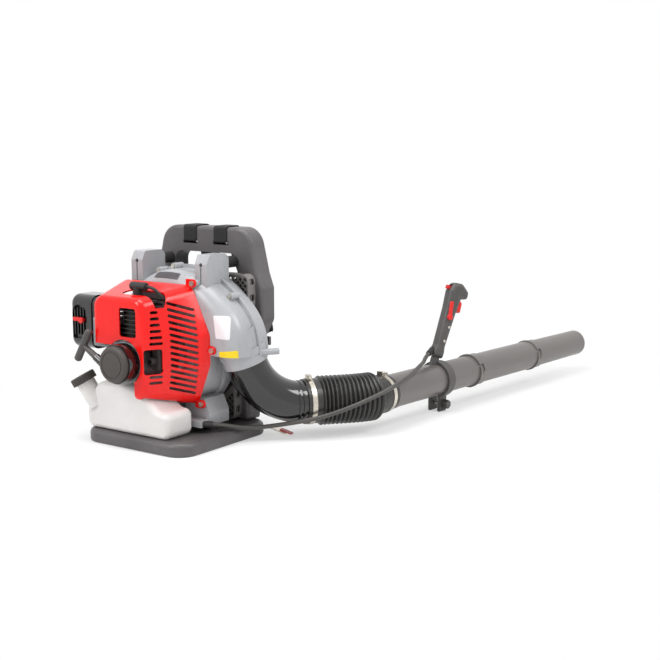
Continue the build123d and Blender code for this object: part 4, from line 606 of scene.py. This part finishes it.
def oval(sides: int, wide_power: float, thick_power: float) -> tuple[Array, Array]:
    """Section of a band: cos and sin round a circle, each squared off by its own power.

    Args:
        sides: Points round the section.
        wide_power: Power of the width; below 1 the edges are fuller.
        thick_power: Power of the thickness; below 1 the faces are flatter.

    Returns:
        Width and thickness round the section, from -1 to 1.
    """
    turn = np.linspace(0, 2 * math.pi, sides, endpoint=False)
    wide = np.sign(np.cos(turn)) * np.abs(np.cos(turn)) ** wide_power
    return wide, np.sign(np.sin(turn)) * np.abs(np.sin(turn)) ** thick_power


def rounded_square(columns: int, rows: int, power: float) -> tuple[Array, Array, Array, Array]:
    """Square grid drawn in to rounded corners.

    A point (u, v) moves to (u, v) m / (|u|^p + |v|^p)^(1/p), where m is the larger of |u| and |v|.

    Args:
        columns: Points across.
        rows: Points up.
        power: Power of the outline; higher is squarer.

    Returns:
        The places across and up from -1 to 1, the nearness to the rim m, and the place up before rounding.
    """
    u, v = np.meshgrid(np.linspace(-1, 1, columns), np.linspace(-1, 1, rows), indexing="ij")
    m = np.maximum(np.abs(u), np.abs(v))
    norm = np.maximum((np.abs(u) ** power + np.abs(v) ** power) ** (1 / power), 1e-9)
    return u * m / norm, v * m / norm, m, v


def rings(path: Array, radius: Array, sides: int, reference: Array) -> Array:
    """Circles carried along a path, square to it.

    Args:
        path: Points of the middle line.
        radius: Radius at each point.
        sides: Points round each circle.
        reference: A direction that the path never takes.

    Returns:
        A grid of points, one row for each point of the path.
    """
    ahead = unit(np.gradient(path, axis=0))
    side = unit(np.cross(ahead, reference))
    return circles(path, side, np.cross(side, ahead), radius, sides)


def ribbon(path: Array, across: Array, width: Array, thickness: float) -> Array:
    """Flat band along a path, with rolled edges: an oval section of power 6 carried along it.

    Args:
        path: Points of the middle line.
        across: Direction of the width at each point.
        width: Width at each point.
        thickness: Thickness of the band.

    Returns:
        A grid of points, one row for each point of the path.
    """
    ahead = unit(np.gradient(path, axis=0))
    normal = unit(np.cross(ahead, across))
    wide, thick = oval(BAND_SIDES, *BAND_POWERS)
    return (
        path[:, None]
        + (width[:, None] / 2 * wide)[..., None] * across[:, None]
        + (thickness / 2 * thick)[None, :, None] * normal[:, None]
    )


def distance_along(path: Array) -> Array:
    """Distance of each point of a line from its start."""
    return np.concatenate([[0], np.cumsum(np.linalg.norm(np.diff(path, axis=0), axis=1))])


def band_uv(path: Array, width: float, columns: int) -> Array:
    """Pattern coordinates of a band in metres: across the width and along the path.

    Args:
        path: Points of the middle line in millimetres.
        width: Width of the band in millimetres.
        columns: Points round the section.

    Returns:
        Coordinates with one column more than the section has points.
    """
    along = distance_along(path) * MM
    turn = np.linspace(0, 2 * math.pi, columns + 1)
    over = np.cos(turn) * width / 2 * MM
    return np.stack(np.broadcast_arrays(over[None, :], along[:, None]), axis=-1)


def taken_points(holder: bpy.types.Object) -> Array:
    """Read an object's points as its modifiers or its spline leave them, and remove the object.

    Args:
        holder: The object to read.

    Returns:
        Points in millimetres.
    """
    bpy.context.view_layer.update()
    mesh = bpy.data.meshes.new_from_object(holder.evaluated_get(bpy.context.evaluated_depsgraph_get()))
    points = np.zeros(len(mesh.vertices) * 3)
    mesh.vertices.foreach_get("co", points)
    bpy.data.objects.remove(holder)
    bpy.data.meshes.remove(mesh)
    return points.reshape(-1, 3) / MM


def nurbs_line(name: str, route: Array) -> Array:
    """Smooth line through a route's control points, read from a NURBS spline of order 3.

    Args:
        name: Name for the spline while it is read.
        route: Control points in millimetres.

    Returns:
        Points of the smooth line in millimetres.
    """
    curve = bpy.data.curves.new(name, "CURVE")
    curve.dimensions = "3D"
    spline = curve.splines.new("NURBS")
    spline.points.add(len(route) - 1)
    spline.points.foreach_set("co", np.column_stack([route * MM, np.ones(len(route))]).ravel())
    spline.order_u = 3
    spline.use_endpoint_u = True
    spline.resolution_u = 24
    holder = bpy.data.objects.new(name, curve)
    bpy.context.scene.collection.objects.link(holder)
    points = taken_points(holder)
    bpy.data.curves.remove(curve)
    return points


def even(path: Array, step: float) -> Array:
    """Points step apart along a line.

    Args:
        path: Points of the line.
        step: Distance between the new points.

    Returns:
        The new points, with both ends kept.
    """
    along = distance_along(path)
    wanted = np.linspace(0, along[-1], max(2, int(round(along[-1] / step))) + 1)
    return np.stack([np.interp(wanted, along, path[:, k]) for k in range(3)], axis=1)


def length_of(path: Array) -> float:
    """Length of a line."""
    return float(np.linalg.norm(np.diff(path, axis=0), axis=1).sum())


@dataclass
class Studio:
    """Pale floor, soft lamps and the camera."""

    eye: tuple[float, float, float] = (1.7277, -1.8662, 0.640)
    azimuth: float = 35.05
    elevation: float = 8.97
    lens: float = 62.56
    sensor: float = 36.0
    far_clip: float = 60.0
    lamp_aim: tuple[float, float, float] = (0.15, 0.2, 0.2)
    lamps: tuple[tuple[str, tuple[float, float, float], float, float], ...] = (
        ("key_softbox", (-0.9, -2.2, 2.0), 1.2, 36.0),
        ("side_softbox", (2.0, 0.5, 2.2), 1.1, 26.0),
        ("top_softbox", (0.0, -0.2, 2.7), 1.5, 42.0),
    )
    floor_half: float = 12.0
    floor_colour: str = "#F8F8F8"
    floor_middle: tuple[float, float, float] = (0.16, 0.36, 0.0)
    floor_reach: tuple[float, float, float] = (0.9, 1.3, 1.0)
    floor_roughness: float = 0.3
    floor_white: float = 0.45
    fade_from: float = 0.5
    world_fill: float = 0.55

    def camera(self) -> None:
        """Set the camera at the photograph's angle."""
        data = bpy.data.cameras.new("camera")
        data.lens = self.lens
        data.sensor_width = self.sensor
        data.clip_end = self.far_clip
        camera = bpy.data.objects.new("camera", data)
        turn, rise = math.radians(self.azimuth), math.radians(self.elevation)
        back = Vector((math.sin(turn) * math.cos(rise), -math.cos(turn) * math.cos(rise), math.sin(rise)))
        camera.location = self.eye
        camera.rotation_mode = "QUATERNION"
        camera.rotation_quaternion = (-back).to_track_quat("-Z", "Y")
        bpy.context.scene.collection.objects.link(camera)
        bpy.context.scene.camera = camera

    def white_for_eye(self, tree: bpy.types.NodeTree) -> bpy.types.NodeSocket:
        """Share that is 1 for rays that show the background: seen, mirrored or through clear material.

        Args:
            tree: The node tree to add to.

        Returns:
            The share's socket.
        """
        rays = add_node(tree, "ShaderNodeLightPath")
        share = rays.outputs["Is Camera Ray"]
        for name in ("Is Glossy Ray", "Is Transmission Ray"):
            larger = add_node(tree, "ShaderNodeMath", {"operation": "MAXIMUM"})
            tree.links.new(share, larger.inputs[0])
            tree.links.new(rays.outputs[name], larger.inputs[1])
            share = larger.outputs["Value"]
        return share

    def world(self) -> None:
        """Even soft light all round, white where it is seen."""
        world = bpy.data.worlds.new("studio")
        world.use_nodes = True
        tree = world.node_tree
        tree.nodes.clear()
        strength = add_node(
            tree, "ShaderNodeMapRange", Value=self.white_for_eye(tree), To_Min=self.world_fill, To_Max=1.0
        )
        shine = add_node(
            tree, "ShaderNodeBackground", Color=linear("#FFFFFF"), Strength=strength.outputs["Result"]
        )
        add_node(tree, "ShaderNodeOutputWorld", Surface=shine.outputs["Background"])
        bpy.context.scene.world = world

    def floor(self) -> None:
        """Wide pale floor, a flat grid at height zero, that turns to plain white away from the object."""
        steps = np.linspace(-self.floor_half, self.floor_half, 3) / MM
        x, y = np.meshgrid(steps, steps, indexing="ij")
        floor = new_piece("floor", np.stack([x, y, np.zeros_like(x)], axis=-1))
        paper = bpy.data.materials.new("white_paper_sweep")
        paper.use_nodes = True
        tree = paper.node_tree
        tree.nodes.clear()
        source = add_node(tree, "ShaderNodeTexCoord")
        offset = add_node(tree, "ShaderNodeVectorMath", {"operation": "SUBTRACT"})
        tree.links.new(source.outputs["Object"], offset.inputs[0])
        offset.inputs[1].default_value = self.floor_middle
        shrunk = add_node(tree, "ShaderNodeVectorMath", {"operation": "DIVIDE"})
        tree.links.new(offset.outputs["Vector"], shrunk.inputs[0])
        shrunk.inputs[1].default_value = self.floor_reach
        away = add_node(tree, "ShaderNodeVectorMath", {"operation": "LENGTH"})
        tree.links.new(shrunk.outputs["Vector"], away.inputs[0])
        fade = add_node(
            tree,
            "ShaderNodeMapRange",
            {"interpolation_type": "SMOOTHSTEP"},
            Value=away.outputs["Value"],
            From_Min=self.fade_from,
            From_Max=1.0,
            To_Min=self.floor_white,
            To_Max=1.0,
        )
        seen = add_node(tree, "ShaderNodeMath", {"operation": "MULTIPLY"})
        tree.links.new(fade.outputs["Result"], seen.inputs[0])
        tree.links.new(self.white_for_eye(tree), seen.inputs[1])
        matt = add_node(
            tree, "ShaderNodeBsdfDiffuse", Color=linear(self.floor_colour), Roughness=self.floor_roughness
        )
        white = add_node(tree, "ShaderNodeEmission", Color=linear("#FFFFFF"), Strength=1.0)
        mixed = add_node(tree, "ShaderNodeMixShader", Fac=seen.outputs["Value"])
        tree.links.new(matt.outputs["BSDF"], mixed.inputs[1])
        tree.links.new(white.outputs["Emission"], mixed.inputs[2])
        add_node(tree, "ShaderNodeOutputMaterial", Surface=mixed.outputs["Shader"])
        floor.data.materials.append(paper)

    def lamp(self, name: str, place: tuple[float, float, float], size: float, watts: float) -> None:
        """Square soft lamp that points at the object's middle.

        Args:
            name: Name of the lamp.
            place: Where it hangs, in metres.
            size: Side of the square, in metres.
            watts: Power.
        """
        data = bpy.data.lights.new(name, "AREA")
        data.size = size
        data.energy = watts
        lamp = bpy.data.objects.new(name, data)
        lamp.location = place
        lamp.rotation_mode = "QUATERNION"
        aim = Vector(self.lamp_aim) - Vector(place)
        lamp.rotation_quaternion = aim.to_track_quat("-Z", "Y")
        bpy.context.scene.collection.objects.link(lamp)

    def build(self) -> None:
        """Make the whole studio."""
        self.camera()
        self.world()
        self.floor()
        for name, place, size, watts in self.lamps:
            self.lamp(name, place, size, watts)
        bpy.context.scene.view_settings.view_transform = "Standard"


@dataclass
class BlowHose:
    """Ribbed rubber hose between the elbow and the blow tubes, in two halves that meet at its middle."""

    rear_end: tuple[float, float, float] = (246.36, 181.62, 80.0)
    rear_heading: float = 35.0
    front_end: tuple[float, float, float] = (327.6, 320.3, 79.0)
    front_heading: float = 4.8
    crest: float = 56.0
    root: float = 49.5
    bore: float = 44.0
    ribs: int = 14
    rib_from: float = 0.05
    rib_to: float = 0.87
    step: float = 0.015
    cuff: float = 26.0
    rear_cuff: float = 50.9
    front_cuff: float = 43.5
    cuff_wall: float = 3.6
    sides: int = 96
    out_steps: int = 260
    back_steps: int = 60
    nudge: float = 1e-4
    crest_power: float = 0.6
    bends_at: tuple[float, float, float] = (0.02, 0.5, 0.94)

    def line(self, share: Array) -> Array:
        """Middle line: a cubic curve whose handles are a third of the span long.

        Args:
            share: Places along the curve from 0 to 1; below 0 and above 1 it goes on straight.

        Returns:
            Points of the line.
        """
        start, end = np.array(self.rear_end), np.array(self.front_end)
        pull = np.linalg.norm(end - start) / 3
        first, last = heading(self.rear_heading), heading(self.front_heading)
        knots = [start, start + first * pull, end - last * pull, end]
        t = np.clip(share, 0, 1)[:, None]
        curve = (1 - t) ** 3 * knots[0] + 3 * t * (1 - t) ** 2 * knots[1]
        curve = curve + 3 * t * t * (1 - t) * knots[2] + t**3 * knots[3]
        below, above = np.minimum(share, 0)[:, None], np.maximum(share - 1, 0)[:, None]
        return curve + below * first * 3 * pull + above * last * 3 * pull

    def outside(self, share: Array) -> Array:
        """Outer radius: round crests with narrow valleys, and plain cuffs at both ends.

        Args:
            share: Places along the curve.

        Returns:
            Radius at each place.
        """
        phase = (share - self.rib_from) / (self.rib_to - self.rib_from) * self.ribs
        wave = (0.5 - 0.5 * np.cos(2 * math.pi * phase)) ** self.crest_power
        ribbed = self.root + (self.crest - self.root) * wave
        plain = np.where(share < 0.5, self.rear_cuff, self.front_cuff)
        ease = np.clip((share - self.rib_to) / self.step, 0, 1)
        end = self.root + (self.front_cuff - self.root) * ease * ease * (3 - 2 * ease)
        return np.where(share < self.rib_from, plain, np.where(share > self.rib_to, end, ribbed))

    def inside(self, share: Array) -> Array:
        """Bore, opened in the cuffs to sit over the elbow and the tube.

        Args:
            share: Places along the curve.

        Returns:
            Radius at each place.
        """
        plain = np.where(share < 0.5, self.rear_cuff, self.front_cuff) - self.cuff_wall
        ribbed = (share >= 0) & (share <= self.rib_to)
        return np.where(ribbed, np.minimum(self.bore, plain), plain)

    def half(self, which: Half) -> bpy.types.Object:
        """One half: outer skin out, bore skin back, joined at both ends.

        Args:
            which: The half to make.

        Returns:
            The piece.
        """
        span = np.linalg.norm(np.array(self.front_end) - np.array(self.rear_end))
        reach = self.cuff / span
        low, high = (-reach, 0.5) if which is Half.REAR else (0.5, 1 + reach)
        out = np.linspace(low, high, self.out_steps)
        back = np.linspace(high, low, self.back_steps)
        share = np.concatenate([out, back])
        radius = np.concatenate([self.outside(out), self.inside(back)])
        path = self.line(share)
        ahead = unit(self.line(share + self.nudge) - self.line(share - self.nudge))
        side = unit(np.cross(ahead, Z_AXIS))
        grid = circles(path, side, np.cross(side, ahead), radius, self.sides)
        return new_piece(f"bellows_{which.value}", grid, wrap_rows=True, wrap_columns=True, sharp=70.0)

    def build(self) -> None:
        """Make both halves, hide the CAD hose and give each half its finish."""
        rear = self.half(Half.REAR)
        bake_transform(rear)
        front = self.half(Half.FRONT)
        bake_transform(front)
        for piece in (rear, front):
            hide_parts("bellows_hose")
            dress(piece, BELLOWS)


@dataclass
class Cords:
    """Throttle cable in two stretches, spark plug lead, fuel line and starter rope."""

    lower: tuple[tuple[float, float, float], ...] = (
        (122.07, -23.18, 48.34), (134.15, -2.64, 45.44), (154, 28, 36), (181, 66, 32), (216, 96, 37),
        (255, 117, 45), (294, 142, 55), (327, 174, 68), (356, 214, 84), (366.5, 237.5, 91.5),
    )
    upper: tuple[tuple[float, float, float], ...] = (
        (366.5, 237.5, 91.5), (377, 261, 99), (386, 318, 112), (380, 378, 121), (369, 432, 129), (359, 478, 136),
        (348.25, 499.38, 140.20), (345.36, 522.01, 147.66),
    )
    lead: tuple[tuple[float, float, float], ...] = (
        (14, -104, 350), (31, -104, 350), (45, -101, 339), (49, -90, 323), (47, -68, 315), (39, -42, 306),
    )
    fuel: tuple[tuple[float, float, float], ...] = (
        (-93, -120, 138), (-89, -121, 156), (-87, -120, 176), (-91, -117, 194), (-93, -118, 211),
    )
    rope: tuple[tuple[float, float, float], ...] = ((-30, -161, 163.46), (-76, -161, 190.67), (-120, -161, 216.7))
    cable_diameter: float = 10.0
    lead_diameter: float = 7.0
    fuel_diameter: float = 6.4
    rope_diameter: float = 4.0
    rib_pitch: float = 3.6
    rib_depth: float = 0.22
    sides: int = 24
    cable_step: float = 0.6
    lead_step: float = 1.5
    rope_step: float = 1.2

    def tube(
        self, name: str, path: Array, diameter: float, ribbed: bool, up: tuple[float, float, float]
    ) -> bpy.types.Object:
        """Round cord along a smooth line, ribbed where it is a conduit: r = d/2 - depth (1 - cos) / 2.

        Args:
            name: Name of the piece.
            path: Points of its line.
            diameter: Diameter over the crests.
            ribbed: Whether the sheath has fine ribs.
            up: A direction that the line never takes.

        Returns:
            The piece.
        """
        along = np.linspace(0, length_of(path), len(path))
        dip = (1 - np.cos(2 * math.pi * along / self.rib_pitch)) / 2 * (self.rib_depth if ribbed else 0.0)
        grid = rings(path, diameter / 2 - dip, self.sides, np.array(up))
        uv = band_uv(path, diameter, self.sides)
        return new_piece(name, grid, wrap_columns=True, caps=True, uv=uv, sharp=60.0)

    def cable(self) -> None:
        """Throttle cable in a lower and an upper stretch, each in place of its CAD node."""
        path = even(nurbs_line("lower_route", np.array(self.lower)), self.cable_step)
        lower = self.tube("throttle_cable_lower", path, self.cable_diameter, True, (0, 0, 1))
        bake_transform(lower)
        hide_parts("cable_lower")
        path = even(nurbs_line("upper_route", np.array(self.upper)), self.cable_step)
        upper = self.tube("throttle_cable_upper", path, self.cable_diameter, True, (0, 0, 1))
        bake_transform(upper)
        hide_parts("cable_upper")
        for piece in (lower, upper):
            dress(piece, SHEATH)

    def short_leads(self) -> None:
        """Spark plug lead and fuel line, both held at each end on the engine."""
        path = even(nurbs_line("lead_route", np.array(self.lead)), self.lead_step)
        lead = self.tube("spark_lead", path, self.lead_diameter, False, (0.2, 0.3, 1))
        path_fuel = even(nurbs_line("fuel_route", np.array(self.fuel)), self.lead_step)
        line = self.tube("fuel_line", path_fuel, self.fuel_diameter, False, (0, 1, 0))
        for piece, points, diameter, node in (
            (lead, path, self.lead_diameter, "plug_lead"),
            (line, path_fuel, self.fuel_diameter, "fuel_hose"),
        ):
            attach(piece, "frame")
            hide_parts(node)
        dress(lead, RUBBER)
        dress(line, FUEL_LINE)

    def starter_rope(self) -> None:
        """Starter rope from the pulley through its spout into the pull handle."""
        path = even(np.array(self.rope), self.rope_step)
        rope = self.tube("starter_rope", path, self.rope_diameter, False, (0, 1, 0))
        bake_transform(rope)
        dress(rope, WEBBING)

    def build(self) -> None:
        """Make every cord."""
        self.cable()
        self.short_leads()
        self.starter_rope()


@dataclass
class Harness:
    """Back pad, shoulder straps and webbing behind the carrier."""

    panel_back: float = 148.0
    pad_z: float = 196.0
    pad_half_width: float = 92.0
    pad_half_height: float = 130.0
    pad_thickness: float = 22.0
    pad_grid: tuple[int, int] = (141, 201)
    pad_power: int = 6
    pad_waist: float = 0.03
    pad_gap: float = 0.3
    pad_rim: float = 3.0
    pad_floor: float = 2.0
    crown_power: int = 5
    crown_ease: float = 0.45
    channels: tuple[float, ...] = (-62.0, 0.0, 62.0)
    channel_width: float = 5.0
    channel_dip: float = 0.42
    border_at: float = 0.86
    border_width: float = 0.025
    border_share: float = 0.8
    binding_radius: float = 2.6
    binding_lift: float = 3.4
    binding_steps: int = 240
    binding_sides: int = 12
    strap_x: float = 45.0
    strap_spread: float = 54.0
    strap_top: float = 436.0
    strap_low: float = 216.0
    strap_rear: float = 157.0
    strap_bow: float = 44.0
    strap_turn: float = 130.0
    strap_width: float = 56.0
    strap_thickness: float = 12.0
    strap_steps: int = 241
    strap_sides: int = 64
    strap_powers: tuple[float, float] = (0.5, 0.75)
    end_power: int = 24
    end_least: float = 0.02
    end_share: float = 0.82
    end_swell: float = 0.18
    hem_room: float = 1.6
    hem_dip: float = 0.35
    hem_at: float = 0.8
    hem_width: float = 0.07
    quilts: int = 5
    quilt_width: float = 3.2
    quilt_dip: float = 0.38
    strap_binding: float = 1.9
    loop_width: float = 38.0
    loop_thickness: float = 2.2
    loop_powers: tuple[float, float] = (0.35, 0.6)
    loop_corner: float = 7.0
    loop_tight: float = 2.0
    loop_step: float = 1.2
    bar_front: float = 101.0
    bar_back: float = 151.0
    bar_low: float = 432.0
    bar_high: float = 470.0
    tether_width: float = 22.0
    tether_thickness: float = 2.5
    tether_top: float = 189.0
    tether_bow: float = 2.5
    tether_steps: int = 90
    tether_end: tuple[float, float, float] = (108.0, 150.9, 44.0)

    def pad(self) -> None:
        """Back pad: a rounded square, crowned, with sewn channels across it.

        Height is (1 - m^power)^ease, where m is the nearness to the rim, less a soft groove at each channel.
        """
        across, up, m, v = rounded_square(*self.pad_grid, self.pad_power)
        x = across * self.pad_half_width * (1 - self.pad_waist * (1 - v * v))
        z = up * self.pad_half_height
        crown = np.clip(1 - m**self.crown_power, 0, 1) ** self.crown_ease
        groove = sum(np.exp(-(((z - c) / self.channel_width) ** 2)) for c in self.channels)
        border = np.exp(-(((m - self.border_at) / self.border_width) ** 2))
        puff = 1 - self.channel_dip * np.clip(groove + self.border_share * border, 0, 1)
        height = self.pad_floor + (self.pad_thickness - self.pad_floor) * crown * puff
        rim = m > AT_RIM
        foot = self.panel_back + self.pad_gap
        top = np.stack([x, foot + np.where(rim, self.pad_rim, height), self.pad_z + z], axis=-1)
        bottom = np.stack([x, foot + np.where(rim, self.pad_rim, 0.0), self.pad_z + z], axis=-1)
        grid = np.concatenate([top, bottom[::-1]], axis=0)
        flat = np.stack([x * MM, z * MM], axis=-1)
        pad = new_piece("back_cushion", grid, uv=np.concatenate([flat, flat[::-1]], axis=0), merge=True, sharp=75.0)
        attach(pad, "frame")
        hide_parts("back_pad")
        dress(pad, PAD_MESH)
        turn = np.linspace(0, 2 * math.pi, self.binding_steps, endpoint=False)
        c, s = np.cos(turn), np.sin(turn)
        norm = (np.abs(c) ** self.pad_power + np.abs(s) ** self.pad_power) ** (1 / self.pad_power)
        line = np.stack(
            [
                c / norm * self.pad_half_width * (1 - self.pad_waist * (1 - (s / norm) ** 2)),
                np.full_like(c, self.panel_back + self.binding_lift),
                self.pad_z + s / norm * self.pad_half_height,
            ],
            axis=-1,
        )
        ahead = unit(np.roll(line, -1, axis=0) - np.roll(line, 1, axis=0))
        out, lift = unit(np.cross(ahead, Y_AXIS)), np.broadcast_to(Y_AXIS, line.shape)
        grid = circles(line, out, lift, np.full(len(line), self.binding_radius), self.binding_sides)
        binding = new_piece("back_cushion_binding", grid, wrap_rows=True, wrap_columns=True)
        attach(binding, "frame")
        dress(binding, PAD_CLOTH)

    def strap_line(self, t: Array, side: int) -> Array:
        """Middle line of a shoulder strap, bowed away from the back.

        Args:
            t: Places from 0 at the carry bar to 1 at the lower end.
            side: -1 left, 1 right.

        Returns:
            Points of the line.
        """
        x = side * (self.strap_x + self.strap_spread * t * t)
        y = self.strap_rear + self.strap_bow * np.sin(np.radians(self.strap_turn * t))
        return np.stack([x, y, self.strap_top + (self.strap_low - self.strap_top) * t], axis=-1)

    def strap(self, side: int, word: str) -> None:
        """Shoulder strap: an oval section carried down the line, pinched at each quilting seam and at its ends.

        Args:
            side: -1 left, 1 right.
            word: The side's name.
        """
        t = np.linspace(0, 1, self.strap_steps)
        path = self.strap_line(t, side)
        ahead = unit(np.gradient(path, axis=0))
        across = np.broadcast_to(X_AXIS, path.shape)
        across = unit(across - (across * ahead).sum(axis=1, keepdims=True) * ahead)
        normal = np.cross(ahead, across)
        wide, thick = oval(self.strap_sides, *self.strap_powers)
        end = np.clip(1 - np.abs(2 * t - 1) ** self.end_power, self.end_least, 1) ** 0.5
        drop = self.strap_top - self.strap_low
        seams = np.arange(1, self.quilts) / self.quilts
        seam = sum(np.exp(-(((t - place) * drop / self.quilt_width) ** 2)) for place in seams)
        stout = self.strap_thickness / 2 * end * (1 - self.quilt_dip * seam)
        edge = 1 - self.hem_dip * np.exp(-(((np.abs(wide) - self.hem_at) / self.hem_width) ** 2))
        half = (self.strap_width / 2 - self.hem_room) * (self.end_share + self.end_swell * end)
        grid = (
            path[:, None]
            + (half[:, None] * wide)[..., None] * across[:, None]
            + (stout[:, None] * thick * edge)[..., None] * normal[:, None]
        )
        uv = band_uv(path, self.strap_width, self.strap_sides)
        strap = new_piece(f"shoulder_pad_{word}", grid, wrap_columns=True, caps=True, uv=uv, sharp=75.0)
        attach(strap, "frame")
        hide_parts("shoulder_straps")
        dress(strap, PAD_CLOTH)
        for edge_side, edge_word in ((-1, "inner"), (1, "outer")):
            line = path + edge_side * side * half[:, None] * across
            grid = rings(line, np.full(len(line), self.strap_binding), self.binding_sides, X_AXIS)
            binding = new_piece(f"shoulder_binding_{word}_{edge_word}", grid, wrap_columns=True, caps=True)
            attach(binding, "frame")
            dress(binding, WEBBING)

    def loop(self, side: int, word: str) -> None:
        """Webbing round the carry bar: a rounded path in a side plane.

        Args:
            side: -1 left, 1 right.
            word: The side's name.
        """
        inset = self.loop_thickness / 2
        front, back = self.bar_front + inset, self.bar_back - inset
        low, high = self.bar_low + inset, self.bar_high - inset
        wide_bend, tight_bend = self.loop_corner, self.loop_tight
        quarter = np.radians(np.linspace(0, 90, 10))
        parts = []
        for y, z, bend, start in (
            (back - wide_bend, high - wide_bend, wide_bend, 0),
            (front + wide_bend, high - wide_bend, wide_bend, 90),
            (front + tight_bend, low + tight_bend, tight_bend, 180),
            (back - tight_bend, low + tight_bend, tight_bend, 270),
        ):
            angle = np.radians(start) + quarter
            parts.append(np.stack([y + bend * np.cos(angle), z + bend * np.sin(angle)], axis=-1))
        outline = np.concatenate(parts)
        outline = np.concatenate([outline, outline[:1]])
        path = even(np.column_stack([np.full(len(outline), side * self.strap_x), outline]), self.loop_step)[:-1]
        across = np.broadcast_to(X_AXIS, path.shape)
        ahead = unit(np.roll(path, -1, axis=0) - np.roll(path, 1, axis=0))
        normal = np.cross(ahead, across)
        wide, thick = oval(BAND_SIDES, *self.loop_powers)
        wide, thick = wide * self.loop_width / 2, thick * self.loop_thickness / 2
        grid = path[:, None] + wide[None, :, None] * across[:, None] + thick[None, :, None] * normal[:, None]
        closed = np.concatenate([path, path[:1]])
        uv = band_uv(closed, self.loop_width, BAND_SIDES)
        loop = new_piece(f"carry_webbing_{word}", grid, wrap_rows=True, wrap_columns=True, uv=uv, sharp=80.0)
        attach(loop, "frame")
        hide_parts("webbing_straps")
        dress(loop, WEBBING)

    def tether(self, side: int, word: str) -> None:
        """Lower webbing from the ladder buckle to the tray, slightly bowed.

        Args:
            side: -1 left, 1 right.
            word: The side's name.
        """
        top = self.strap_line(np.array([1.0]), side)[0] * np.array([1.0, 1.0, 0.0]) + [0, 0, self.tether_top]
        low = np.array(self.tether_end) * [side, 1, 1]
        t = np.linspace(0, 1, self.tether_steps)[:, None]
        path = top + (low - top) * t + np.sin(math.pi * t) * self.tether_bow * Y_AXIS
        across = np.broadcast_to(X_AXIS, path.shape)
        grid = ribbon(path, across, np.full(len(path), self.tether_width), self.tether_thickness)
        uv = band_uv(path, self.tether_width, BAND_SIDES)
        tether = new_piece(f"lower_webbing_{word}", grid, wrap_columns=True, caps=True, uv=uv, sharp=80.0)
        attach(tether, "frame")
        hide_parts("webbing_straps")
        dress(tether, WEBBING)

    def build(self) -> None:
        """Make the whole harness."""
        self.pad()
        for side, word in ((-1, "left"), (1, "right")):
            self.strap(side, word)
            self.loop(side, word)
            self.tether(side, word)


@dataclass
class Plates:
    """Bare foil plates stuck to the fan housing: a grid laid on the housing's own surface."""

    thickness: float = 0.4
    gap: float = 0.1
    stand_off: float = 3.0
    corner_power: int = 14
    steps: int = 49
    dark_size: tuple[float, float] = (76.0, 20.0)
    white_size: tuple[float, float] = (42.0, 52.0)
    yellow_size: tuple[float, float] = (52.0, 20.0)

    def plate(
        self, name: str, finish: Finish, middle: Array, out: Array, up: Array, size: tuple[float, float]
    ) -> None:
        """One plate: a rounded square, pressed on to the housing and thickened outwards.

        Args:
            name: Name of the piece.
            finish: Its finish.
            middle: A point near its middle.
            out: Direction out of the housing there.
            up: The plate's upward direction.
            size: Width and height.
        """
        out = unit(out)
        side = unit(np.cross(up, out))
        top = np.cross(out, side)
        across, rise, m, _ = rounded_square(self.steps, self.steps, self.corner_power)
        x, z = across * size[0] / 2, rise * size[1] / 2
        flat = new_piece(name, middle + self.stand_off * out + x[..., None] * side + z[..., None] * top)
        press = flat.modifiers.new("press", "SHRINKWRAP")
        press.target = bpy.data.objects["front_volute"]
        press.wrap_method = "NEAREST_SURFACEPOINT"
        press.wrap_mode = "ABOVE_SURFACE"
        press.offset = self.gap * MM
        base = taken_points(flat).reshape(m.shape + (3,))
        lifted = base + out * (self.thickness * (m < AT_RIM))[..., None]
        plate = new_piece(name, np.concatenate([lifted, base[::-1]], axis=0), merge=True, sharp=80.0)
        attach(plate, "frame")
        dress(plate, finish)

    def build(self) -> None:
        """Dark plate on the crown, white one on the shoulder and yellow one on the outlet's band."""
        level, tilted = (0.0, 0.0, 1.0), (-0.12, 0.0, 1.0)
        for name, finish, middle, out, up, size in (
            ("crown_plate", FOIL_DARK, (-10.6, -13.6, 365.7), (-0.05, -0.7, 0.7), level, self.dark_size),
            ("shoulder_plate", FOIL_WHITE, (150.7, -22.7, 263.1), (0.45, -0.85, 0.25), level, self.white_size),
            ("outlet_plate", FOIL_YELLOW, (169.4, -23.2, 204.0), (0.35, -0.92, 0.0), tilted, self.yellow_size),
        ):
            self.plate(name, finish, np.array(middle), np.array(out), np.array(up), size)


def dress_nodes(nodes: dict[str, bpy.types.Object]) -> None:
    """Give every CAD node that stays in sight its finish.

    Args:
        nodes: The CAD nodes by name.
    """
    for name, finish in NODE_FINISH.items():
        dress(nodes[name], finish)


def main() -> None:
    """Build the studio and every sub-assembly."""
    logging.basicConfig(level=logging.INFO, format="%(name)s %(message)s")
    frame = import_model()
    Studio().build()
    Cords().build()
    BlowHose().build()
    Harness().build()
    Plates().build()
    dress_nodes(frame["nodes"])


if __name__ == "__main__":
    main()
